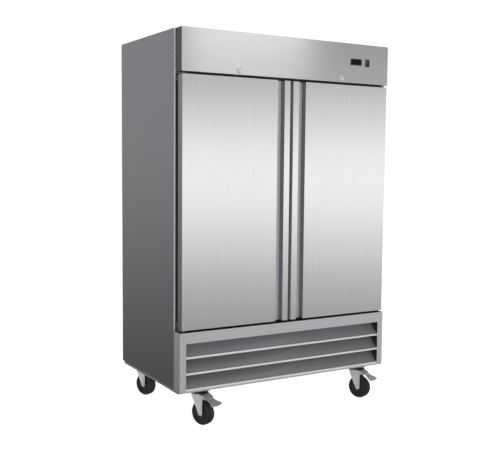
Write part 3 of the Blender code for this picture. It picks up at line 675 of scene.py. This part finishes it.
def door(side, word):
    """Folded shell with its grip, bellows seal and hinge bushes. The shell's faces carry painted light and
    shade: darker steel on its sides, grip walls and free edge, lighter steel on the grip's floor.
    """
    body = f"{word}_door"
    bm = bmesh.new()
    add_prism(bm, door_outline(side, DOOR_BACK), "z", DOOR_BOTTOM, DOOR_TOP)
    x = side * LOCK_X
    low = (x - 0.010, FRONT + 0.018, DOOR_TOP - 0.013)
    cutters = [box_mesh(low, (x + 0.034, FRONT + 0.0365, DOOR_TOP + 0.01))]
    for level in (DOOR_BOTTOM, DOOR_TOP):
        hole = bmesh.new()
        profile = [(0, -0.022), (0.0056, -0.022), (0.0056, 0.022), (0, 0.022)]
        add_lathe(hole, profile, 24, Matrix.Translation((side * HINGE_X, HINGE_Y, level)))
        cutters.append(hole)
    shell = carve(make(f"{word}_door_shell", bm), *cutters)
    finishes = [DOOR_STEEL, SHADED_SIDE_STEEL, LIT_CHANNEL_STEEL, SHADED_EDGE_STEEL]
    for finish in finishes:
        shell.data.materials.append(finish)
    # Lighter steel on the grip's floor is painted light; darker steel on the free edge, the grip's walls
    # and the door's sides is painted shade
    for face in shell.data.polygons:
        out = abs(face.center.x)
        finish = DOOR_STEEL
        if abs(face.normal.y) > 0.9 and abs(face.center.y - GRIP_FLOOR) < 0.001:
            finish = LIT_CHANNEL_STEEL
        elif abs(face.normal.x) > 0.9 and out < DOOR_FREE_EDGE + 0.001:
            finish = SHADED_EDGE_STEEL
        elif abs(face.normal.x) > 0.9 and (out < GRIP[1] + 0.001 or out > DOOR_HALF - 0.001):
            finish = SHADED_SIDE_STEEL
        face.material_index = finishes.index(finish)
    bevel(shell, 0.0016)
    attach(shell, body)
    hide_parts(f"{word}_door_skin", f"{word}_door_core")

    seal = DOOR_BACK + 0.0018
    face = BODY_FRONT - GAP
    deep = face - seal
    section = [
        (0.0015, 0.0), (0.0145, 0.0), (0.0155, 0.12), (0.0120, 0.22), (0.0120, 0.34),
        (0.0158, 0.46), (0.0120, 0.58), (0.0140, 0.70), (0.0158, 0.80), (0.0158, 0.96),
        (0.0150, 1.0), (0.0010, 1.0), (0.0002, 0.96), (0.0002, 0.80), (0.0020, 0.70),
        (0.0040, 0.58), (0.0002, 0.46), (0.0040, 0.34), (0.0040, 0.22), (0.0005, 0.12),
    ]
    low = (0.034, DOOR_BOTTOM + 0.024)
    high = (DOOR_HALF - 0.024, DOOR_TOP - 0.024)
    bm = bmesh.new()
    loops = []
    for inset, part in section:
        y = seal + deep * part
        corners = [
            (low[0] + inset, low[1] + inset),
            (high[0] - inset, low[1] + inset),
            (high[0] - inset, high[1] - inset),
            (low[0] + inset, high[1] - inset),
        ]
        loops.append([bm.verts.new((side * x, y, z)) for x, z in corners])
    for one, two in zip(loops, loops[1:] + loops[:1]):
        for i in range(4):
            j = (i + 1) % 4
            bm.faces.new((one[i], one[j], two[j], two[i]))
    piece(f"{word}_door_seal", bm, GASKET, body, 40, replaces=(f"{word}_door_gasket",))

    bm = bmesh.new()
    for level, way in ((DOOR_BOTTOM, -1), (DOOR_TOP, 1)):
        ring = [(0.0057, 0), (0.0095, 0), (0.0090, way * 0.0002), (0.0057, way * 0.0002)]
        add_lathe(bm, ring, 24, Matrix.Translation((side * HINGE_X, HINGE_Y, level)))
    piece(f"{word}_door_bushes", bm, PLASTIC, body)


# ---------------------------------------------------------------- compartment

def wire_shelf(side, word, place, level):
    """Coated wire shelf: a round frame, cross supports below and close deck wires on top."""
    inner, outer = 0.012, 0.620
    front, rear = BODY_FRONT + 0.0705, LINER_BACK - 0.0225
    r = 0.0029
    bm = bmesh.new()
    x0, x1 = side * (inner + r), side * (outer - r)
    z = level - 0.003
    corners = [
        (x0, front + r, z),
        (x1, front + r, z),
        (x1, rear - r, z),
        (x0, rear - r, z),
    ]
    start = ((x0 + x1) / 2, front + r, z)
    curve = rounded([start] + corners[1:] + [corners[0], start], 0.014)[:-1]
    add_tube(bm, curve, r, 8, True)
    count = 25
    for i in range(1, count):
        x = x0 + (x1 - x0) * i / count
        add_tube(bm, [(x, front + r, level - 0.0016), (x, rear - r, level - 0.0016)], 0.0015, 6)
    for i in range(1, 4):
        y = front + (rear - front) * i / 4
        add_tube(bm, [(x0, y, level - 0.0044), (x1, y, level - 0.0044)], 0.0015, 6)
    name = f"{word}_{place}_wire_shelf"
    piece(name, bm, WIRE, "cabinet", 60, replaces=(f"{word}_{place}_shelf",))


def standards():
    """Slotted uprights on the compartment walls, and the clips that hold the shelves."""
    bottom, top = 0.640, 1.790
    bm = bmesh.new()
    front, rear = BODY_FRONT + 0.120, LINER_BACK - 0.070
    pitch = 0.025
    uprights = [(side * LINER_HALF, y, -side, 0) for side, _ in SIDES for y in (front, rear)]
    uprights += [(side * 0.030, LINER_BACK, 0, -1) for side, _ in SIDES]
    for x, y, nx, ny in uprights:
        across = Vector((-ny, nx, 0))
        out = Vector((nx, ny, 0))
        base = Vector((x, y, 0))
        for edge in (-1, 1):
            a = base + across * edge * 0.0045
            b = base + across * edge * 0.0090 + out * 0.0035
            low = [min(a[i], b[i]) for i in range(2)] + [bottom]
            add_box(bm, low, [max(a[i], b[i]) for i in range(2)] + [top])
        for i in range(int((top - bottom) / pitch) + 1):
            a = base - across * 0.0050 + out * 0.0008
            b = base + across * 0.0050 + out * 0.0030
            low = [min(a[k], b[k]) for k in range(2)] + [bottom + i * pitch - 0.0045]
            add_box(bm, low, [max(a[k], b[k]) for k in range(2)] + [bottom + i * pitch + 0.0045])
    piece("shelf_standards", bm, LINING, "cabinet", edge=0.0003)
    bm = bmesh.new()
    for x, y, nx, ny in uprights:
        out = Vector((nx, ny, 0))
        across = Vector((-ny, nx, 0))
        for _, level in SHELF_LEVELS:
            under = level - 0.0062
            base = Vector((x, y, 0)) + out * 0.0030
            tip = base + out * (0.022 if nx else 0.026)
            foot = under - 0.020
            outline = [(0, under), (1, under), (1, under - 0.003), (0.15, foot), (0, foot)]
            rings = []
            for offset in (-0.005, 0.005):
                ring = []
                for part, z in outline:
                    point = base.lerp(tip, part) + across * offset
                    ring.append(bm.verts.new((point.x, point.y, z)))
                rings.append(ring)
            bm.faces.new(rings[0])
            bm.faces.new(rings[1])
            for i in range(len(outline)):
                j = (i + 1) % len(outline)
                bm.faces.new((rings[0][i], rings[0][j], rings[1][j], rings[1][i]))
    piece("shelf_clips", bm, PLATED, "cabinet", edge=0.0006)


def fan_guard(name, spot, radius, stand, way, rings=6):
    """Round wire guard across Y: rings on four spokes, domed by stand."""
    bm = bmesh.new()
    x, y, z = spot
    turns = [2 * math.pi * i / 40 for i in range(40)]
    for k in range(rings):
        r = radius * (k + 1) / rings
        depth = stand * (1 - (r / radius) ** 2)
        loop = [(x + r * math.cos(a), y + way * depth, z + r * math.sin(a)) for a in turns]
        add_tube(bm, loop, 0.0011, 6, True)
    for k in range(4):
        a = math.radians(45 + 90 * k)
        spoke = []
        for i in range(9):
            r = radius * i / 8
            depth = stand * (1 - (r / radius) ** 2)
            spoke.append((x + r * math.cos(a), y + way * (depth - 0.0020), z + r * math.sin(a)))
        add_tube(bm, spoke, 0.0012, 6)
    piece(name, bm, WIRE, "cabinet", 60)


def fin_block(name, low, high, pitch, rows, finish):
    """Coil: thin upright fins with tubes through them and return bends at both ends."""
    bm = bmesh.new()
    count = int((high[0] - low[0]) / pitch)
    for i in range(count + 1):
        x = low[0] + 0.012 + (high[0] - low[0] - 0.024) * i / count
        add_box(bm, (x - 0.0001, low[1], low[2]), (x + 0.0001, high[1], high[2]))
    for x in (low[0] + 0.011, high[0] - 0.011):
        add_box(bm, (x - 0.0008, low[1] - 0.001, low[2]), (x + 0.0008, high[1] + 0.001, high[2]))
    piece(name + "_fins", bm, finish, "cabinet")
    bm = bmesh.new()
    step = (high[2] - low[2]) / rows
    for column in (0.3, 0.7):
        y = low[1] + (high[1] - low[1]) * column
        path = []
        for k in range(rows):
            z = low[2] + step * (k + 0.5)
            ends = [low[0] + 0.008, high[0] - 0.008]
            if k % 2:
                ends.reverse()
            path += [(ends[0], y, z), (ends[1], y, z)]
        add_tube(bm, rounded(path, step * 0.45, 6), 0.0042, 8)
    piece(name + "_tubes", bm, PLATED, "cabinet", 60)


def evaporator():
    """Coil in the housing, and a guard and a motor for each of its two fans."""
    low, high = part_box("evaporator_housing")
    level = (low.z + high.z) / 2
    inside = (low.x + 0.03, low.y + 0.110, low.z + 0.014)
    fin_block("evaporator_coil", inside, (high.x - 0.03, high.y - 0.060, high.z - 0.010), 0.006, 5, FINS)
    bm = bmesh.new()
    for side, word in SIDES:
        x = side * 0.225
        fan_guard(f"{word}_fan_guard", (x, low.y - 0.0025, level), 0.082, 0.006, -1)
        motor = [(0, 0), (0.030, 0), (0.033, 0.003), (0.033, 0.042), (0.028, 0.048), (0, 0.048)]
        add_lathe(bm, motor, 32, facing((x, low.y + 0.0345, level), (0, 1, 0)))
        for k in range(3):
            a = math.radians(90 + 120 * k)
            reach = Vector((math.cos(a), 0, math.sin(a)))
            start = Vector((x, low.y + 0.050, level)) + reach * 0.030
            end = Vector((x, low.y + 0.003, level)) + reach * 0.086
            add_tube(bm, rounded([start, start + reach * 0.052, end], 0.008), 0.0020, 6)
    piece("evaporator_fan_motors", bm, ENAMEL, "cabinet", 45)


# ---------------------------------------------------------------- machine space

def machine_space():
    """Condenser with its fan shroud and guard, compressor on its feet, and the lines between them."""
    foot, top = (corner.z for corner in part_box("condenser_coil"))
    depth = GRILLE[1].y + 0.042
    low, high = (-0.560, depth + 0.0003, foot), (-0.180, depth + 0.0803, top)
    fin_block("condenser", low, high, 0.0036, 9, FINS)
    spot = Vector(JOINTS["condenser_fan_spin"]["pos_m"])
    bm = bmesh.new()
    motor = [(0, 0), (0.027, 0), (0.030, 0.003), (0.030, 0.024), (0, 0.024)]
    add_lathe(bm, motor, 32, facing((spot.x, high[1] + 0.001, spot.z), (0, 1, 0)))
    ring = [(0.124, -0.030), (0.127, -0.030), (0.127, 0.014)]
    ring += [(0.132, 0.020), (0.131, 0.021), (0.124, 0.015)]
    add_lathe(bm, ring, 56, facing(spot, (0, 1, 0)))
    for k in range(4):
        a = math.radians(45 + 90 * k)
        reach = Vector((math.cos(a), 0, math.sin(a)))
        start = Vector((spot.x, high[1] + 0.012, spot.z))
        add_tube(bm, [start + reach * 0.026, start + reach * 0.126], 0.0030, 8)
    piece("condenser_shroud", bm, ENAMEL, "cabinet", 40, replaces=("condenser_coil",))
    fan_guard("condenser_guard", (spot.x, spot.y + 0.026, spot.z), 0.128, 0.006, 1, 8)

    low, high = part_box("compressor")
    middle = (low + high) / 2
    bm = bmesh.new()
    profile = [(0, 0.010), (0.060, 0.010), (0.078, 0.018), (0.087, 0.034), (0.0895, 0.060)]
    profile += [(0.0897, 0.103), (0.0928, 0.106), (0.0928, 0.113), (0.0897, 0.116), (0.088, 0.140)]
    profile += [(0.081, 0.166), (0.066, 0.187), (0.044, 0.200), (0.020, 0.2066), (0, 0.2078)]
    add_lathe(bm, profile, 64, Matrix.Translation((middle.x, middle.y, low.z)))
    piece("compressor_shell", bm, ENAMEL, "cabinet", 40, replaces=("compressor",))
    bm = bmesh.new()
    for side in (-1, 1):
        x = middle.x + side * 0.080
        add_box(bm, (x - 0.028, low.y + 0.001, low.z + 0.009), (x + 0.028, high.y - 0.001, low.z + 0.0125))
    piece("compressor_feet", bm, PLATED, "cabinet", edge=0.0008)
    bm = bmesh.new()
    grommet = [(0.003, 0.0), (0.009, 0.0), (0.010, 0.004), (0.008, 0.008)]
    grommet += [(0.010, 0.0125), (0.009, 0.017), (0.003, 0.018)]
    for x in (-0.090, 0.090):
        for y in (-0.085, 0.085):
            add_lathe(bm, grommet, 20, Matrix.Translation((middle.x + x, middle.y + y, low.z)))
    piece("compressor_grommets", bm, GASKET, "cabinet", 60)
    bm = bmesh.new()
    corner = (middle.x + 0.030, low.y + 0.030, low.z + 0.130)
    add_box(bm, (middle.x - 0.030, low.y - 0.006, low.z + 0.070), corner)
    piece("terminal_cover", bm, PLASTIC, "cabinet", edge=0.004)
    bm = bmesh.new()
    z = low.z + 0.060
    line = [(middle.x - 0.080, middle.y, z), (middle.x - 0.130, middle.y, z)]
    line += [(middle.x - 0.150, middle.y - 0.14, z + 0.09), (-0.020, middle.y - 0.18, 0.455)]
    line += [(-0.150, -0.160, 0.455), (-0.176, -0.200, 0.455)]
    add_tube(bm, rounded(line, 0.035, 6), 0.0040, 10)
    x, z = middle.x + 0.02, low.z + 0.150
    line = [(x, middle.y + 0.07, z), (x, middle.y + 0.125, z), (middle.x - 0.10, middle.y + 0.125, 0.480)]
    line += [(0.060, middle.y + 0.120, 0.500), (0.060, middle.y + 0.120, 0.5257)]
    add_tube(bm, rounded(line, 0.030, 6), 0.0060, 10)
    drier = [(0, 0), (0.004, 0.004), (0.011, 0.016), (0.011, 0.090), (0.004, 0.102), (0, 0.106)]
    add_lathe(bm, drier, 24, facing((-0.120, -0.030, 0.420), (0.3, 1, 0.1)))
    piece("refrigerant_lines", bm, PLATED, "cabinet", 60)


# ---------------------------------------------------------------- fasteners

def screw_heads(name, spots, radius):
    """Domed zinc heads with a round recess at (point, outward direction)."""
    bm = bmesh.new()
    profile = [(0, -0.0002), (radius, -0.0002), (radius, radius * 0.20), (radius * 0.82, radius * 0.46)]
    profile += [(radius * 0.42, radius * 0.58), (radius * 0.30, radius * 0.34), (0, radius * 0.26)]
    for point, direction in spots:
        add_lathe(bm, profile, 16, facing(point, direction))
    piece(name, bm, PLATED, "cabinet", 50)


def fasteners():
    """Screws of the rear service cover and of the hinge brackets."""
    spots = []
    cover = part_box("rear_service_cover")[1].y
    for x in (-0.670, -0.40, 0.0, 0.40, 0.670):
        for z in (0.222, 0.510):
            spots.append(((x, cover, z), (0, 1, 0)))
    screw_heads("rear_screws", spots, 0.0042)
    spots = []
    for side, _ in SIDES:
        for end, level in ((1, DOOR_TOP), (-1, DOOR_BOTTOM)):
            for step in (0.018, 0.032):
                z = level + end * 0.004 - end * step
                spots.append(((side * 0.670, BODY_FRONT - 0.0033, z), (0, -1, 0)))
    screw_heads("hinge_screws", spots, 0.0032)


# ---------------------------------------------------------------- casters

def caster(word):
    """Tyre and hub on the wheel, nuts and race on the fork with a dark cap that paints the shade under the
    body, bolts in the plate.
    """
    kingpin = Vector(JOINTS[f"{word}_swivel"]["pos_m"])
    own = Matrix.Translation((kingpin.x, kingpin.y, 0)) @ CASTER_TURN
    axle = JOINTS[f"{word}_roll"]["pos_m"][2]
    across = own @ Matrix.Translation((TRAIL, 0, axle)) @ Matrix.Rotation(math.radians(90), 4, "X")
    half = WHEEL_WIDTH / 2
    tyre = [
        (0.0500, half - 0.0040),
        (0.0520, half - 0.0008),
        (0.0545, half),
        (0.0600, half),
        (0.0640, half - 0.0018),
        (0.0658, half - 0.0050),
        (axle, half - 0.0100),
    ]
    profile = [(r, -z) for r, z in tyre] + [(r, z) for r, z in reversed(tyre)]
    bm = bmesh.new()
    add_lathe(bm, profile, 72, across)
    made = piece(f"{word}_tyre", bm, RUBBER, f"{word}_wheel", 40)
    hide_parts(f"{word}_caster_wheel")
    hub = [
        (0.0066, half + 0.0019),
        (0.0150, half + 0.0019),
        (0.0162, half + 0.0008),
        (0.0175, half - 0.0050),
        (0.0270, half - 0.0062),
        (0.0290, half - 0.0050),
        (0.0310, half - 0.0062),
        (0.0440, half - 0.0062),
        (0.0462, half - 0.0035),
        (0.0505, half - 0.0035),
    ]
    profile = [(r, -z) for r, z in hub] + [(r, z) for r, z in reversed(hub)]
    bm = bmesh.new()
    add_lathe(bm, profile, 64, across)
    for face in (-1, 1):
        for k in range(6):
            a = math.pi * k / 3
            rib = [(0.017, -0.0014), (0.045, -0.0014), (0.045, 0.0014), (0.017, 0.0014)]
            turn = across @ Matrix.Rotation(a, 4, "Z")
            ends = sorted((face * (half - 0.0066), face * (half - 0.0040)))
            add_prism(bm, rib, "z", ends[0], ends[1], turn)
    piece(f"{word}_hub", bm, HUB, f"{word}_wheel", 40)

    bm = bmesh.new()
    reach = half + 0.0035 + 0.003
    for face in (-1, 1):
        turn = across @ Matrix.Rotation(0 if face > 0 else math.pi, 4, "X")
        place = turn @ Matrix.Translation((0, 0, reach - 0.0002))
        add_lathe(bm, [(0, 0), (0.0105, 0), (0.0105, 0.0012), (0, 0.0012)], 28, place)
        nut = [(0, 0.0010), (0.0082, 0.0010), (0.0084, 0.0020)]
        nut += [(0.0084, 0.0054), (0.0074, 0.0062), (0, 0.0062)]
        add_lathe(bm, nut, 6, place)
        stub = [(0, 0.0050), (0.0042, 0.0050), (0.0042, 0.0082), (0.0034, 0.0090), (0, 0.0090)]
        add_lathe(bm, stub, 16, place)
    piece(f"{word}_axle_nuts", bm, PLATED, f"{word}_caster", 40)
    race = [(0.0310, CROWN - 0.0004), (0.0338, CROWN - 0.0004), (0.0346, CROWN + 0.0030)]
    race += [(0.0338, CROWN + 0.0075), (0.0312, CROWN + 0.0090), (0.0310, CROWN + 0.0090)]
    bm = bmesh.new()
    add_lathe(bm, race, 40, own)
    # A dark cap over the fork's crown that fills the shade under the body: painted shade
    arc = [math.radians(a) for a in range(56, -57, -14)]
    shade_cap = [(0.0325 * math.cos(a), 0.0325 * math.sin(a)) for a in arc]
    shade_cap += [(0.0200, -0.030), (0.0480, -0.030), (0.0590, -0.022)]
    shade_cap += [(0.0590, 0.022), (0.0480, 0.030), (0.0200, 0.030)]
    add_prism(bm, shade_cap, "z", CROWN + 0.0001, CROWN + 0.0064, own)
    piece(f"{word}_caster_race_and_shade_cap", bm, SHADED_ZINC, f"{word}_caster", 40)

    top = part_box(f"{word}_caster_plate")[1].z
    bm = bmesh.new()
    for x in (-0.040, 0.040):
        for y in (-0.0325, 0.0325):
            spot = (kingpin.x + x, kingpin.y + y, top - 0.0045)
            place = Matrix.Translation(spot) @ Matrix.Rotation(math.pi, 4, "X")
            add_lathe(bm, [(0, -0.0002), (0.0085, -0.0002), (0.0085, 0.0012), (0, 0.0012)], 20, place)
            head = [(0, 0.0010), (0.0066, 0.0010), (0.0068, 0.0016)]
            head += [(0.0068, 0.0048), (0.0058, 0.0056), (0, 0.0056)]
            add_lathe(bm, head, 6, place)
    # Plate bolts in the near-black zinc: painted shade
    piece(f"{word}_plate_bolts", bm, SHADED_ZINC, "cabinet", 30)


def pedal(word):
    """Fan-shaped pressed pedal with three grip ribs."""
    kingpin = Vector(JOINTS[f"{word}_swivel"]["pos_m"])
    own = Matrix.Translation((kingpin.x, kingpin.y, 0)) @ CASTER_TURN
    pivot = own @ Matrix.Translation((PEDAL_PIVOT[0], 0, PEDAL_PIVOT[1]))
    place = pivot @ Matrix.Rotation(math.radians(28), 4, "Y")
    length = 0.0618
    half = [(0.0, 0.0246), (0.012, 0.0256), (0.030, 0.0330), (length - 0.015, 0.0452)]
    half += [(length - 0.009, 0.0440), (length - 0.004, 0.0350), (length - 0.001, 0.0200)]
    outline = half + [(length, 0.0)] + [(x, -y) for x, y in reversed(half)]
    bm = bmesh.new()
    add_prism(bm, outline, "z", -0.0014, 0.0009, place)
    for k in range(3):
        x = 0.026 + 0.010 * k
        wide = 0.020 + 0.006 * k
        rib = [(x, -wide), (x + 0.004, -wide), (x + 0.004, wide), (x, wide)]
        add_prism(bm, rib, "z", 0.0007, 0.0015, place)
    made = piece(f"{word}_pedal", bm, PLATED, f"{word}_pedal", 35, 0.0005)
    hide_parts(f"{word}_brake_pedal")


# ---------------------------------------------------------------- stage, light and camera

def area_light(name, spot, target, size, power):
    data = bpy.data.lights.new(name, "AREA")
    data.shape = "RECTANGLE"
    data.size, data.size_y = size
    data.energy = power
    lamp = bpy.data.objects.new(name, data)
    turn = (Vector(target) - Vector(spot)).to_track_quat("-Z", "Y").to_matrix().to_4x4()
    lamp.matrix_world = Matrix.Translation(spot) @ turn
    bpy.context.scene.collection.objects.link(lamp)


def floor():
    bm = bmesh.new()
    bmesh.ops.create_grid(bm, x_segments=8, y_segments=8, size=30)
    plane = make("floor", bm)
    mat = principled("floor", (0.90, 0.90, 0.90), 0.0, 0.7)
    cloud = noise(mat, (0.8, 0.8, 0.8), 2.0)
    drive(mat, "Base Color", blend_color(mat, cloud, (0.89, 0.89, 0.89), (0.91, 0.91, 0.91)))
    shader_of(mat).inputs["Emission Color"].default_value = (1, 1, 1, 1)
    shader_of(mat).inputs["Emission Strength"].default_value = 0.92
    plane.data.materials.append(mat)
    plane.visible_glossy = False


def dot_product(mat, one, two):
    made = add(mat, "ShaderNodeVectorMath", {0: one, 1: two}, operation="DOT_PRODUCT")
    return made.outputs["Value"]


def studio():
    """Soft surround with a bright band on the doors' side, a white backdrop and one strip above."""
    world = bpy.data.worlds.new("studio")
    bpy.context.scene.world = world
    world.use_nodes = True
    world.node_tree.nodes.clear()
    way = add(world, "ShaderNodeTexCoord").outputs["Generated"]
    parts = add(world, "ShaderNodeSeparateXYZ", {0: way})
    rise = parts.outputs["Z"]
    share = spread(world, dot_product(world, way, SURROUND_WAY), *SURROUND_SHARE)
    base = arithmetic(world, "MULTIPLY", spread(world, rise, *SURROUND), share)
    height, level, wide = BAND
    away = arithmetic(world, "DIVIDE", arithmetic(world, "SUBTRACT", rise, level), wide)
    square = arithmetic(world, "MULTIPLY", away, away)
    bell = arithmetic(world, "POWER", 2.718, arithmetic(world, "MULTIPLY", square, -1.0))
    band = arithmetic(world, "MULTIPLY", bell, height)
    mask = spread(world, dot_product(world, way, BAND_WAY), 0, 1, *BAND_EDGE)
    ahead = arithmetic(world, "ADD", spread(world, rise, *GROUND), band)
    total = arithmetic(world, "ADD", base, arithmetic(world, "MULTIPLY", ahead, mask))
    sideways = arithmetic(world, "MULTIPLY", parts.outputs["X"], parts.outputs["X"])
    total = arithmetic(world, "ADD", total, spread(world, sideways, 0, SIDE_FILL, *SIDE_FILL_EDGE))
    rays = add(world, "ShaderNodeLightPath")
    lit = add(world, "ShaderNodeBackground", {"Strength": total, "Color": (1, 1, 1, 1)})
    seen = add(world, "ShaderNodeBackground", {"Strength": 1.05, "Color": (1, 1, 1, 1)})
    choice = {0: rays.outputs["Is Camera Ray"], 1: lit.outputs[0], 2: seen.outputs[0]}
    mixed = add(world, "ShaderNodeMixShader", choice)
    out = add(world, "ShaderNodeOutputWorld")
    world.node_tree.links.new(mixed.outputs[0], out.inputs[0])
    bpy.context.scene.view_settings.view_transform = "Standard"
    area_light("strip", (2.27, -4.62, 4.1), (0, -0.3, 2.0), (1.5, 2.8), 20)


def camera():
    """Angles in radians, then distance in metres; azimuth 0 looks along +Y."""
    azimuth, elevation, roll = -0.534801, 0.085656, 0.0099054
    target, distance = (0, FRONT + 0.4075, 1.010), 4.89095
    flat = math.cos(elevation)
    back = Vector((math.sin(azimuth) * flat, -math.cos(azimuth) * flat, math.sin(elevation)))
    right = (-back).cross(Vector((0, 0, 1))).normalized()
    up = right.cross(-back)
    x_axis = math.cos(roll) * right + math.sin(roll) * up
    y_axis = -math.sin(roll) * right + math.cos(roll) * up
    spot = Vector(target) + back * distance
    data = bpy.data.cameras.new("camera")
    data.lens = 57.919
    data.sensor_width = 36
    data.shift_x = -0.00686
    data.shift_y = 0.01426
    data.clip_end = 200
    eye = bpy.data.objects.new("camera", data)
    rows = [(x_axis[i], y_axis[i], back[i], spot[i]) for i in range(3)]
    eye.matrix_world = Matrix(rows + [(0, 0, 0, 1)])
    bpy.context.scene.collection.objects.link(eye)
    bpy.context.scene.camera = eye


header()
controls()
grille()
for number, side_word in SIDES:
    door(number, side_word)
    for place_word, shelf_level in SHELF_LEVELS:
        wire_shelf(number, side_word, place_word, shelf_level)
standards()
evaporator()
machine_space()
fasteners()
for caster_word in CASTERS:
    caster(caster_word)
for caster_word in CASTERS[:2]:
    pedal(caster_word)
floor()
studio()
camera()
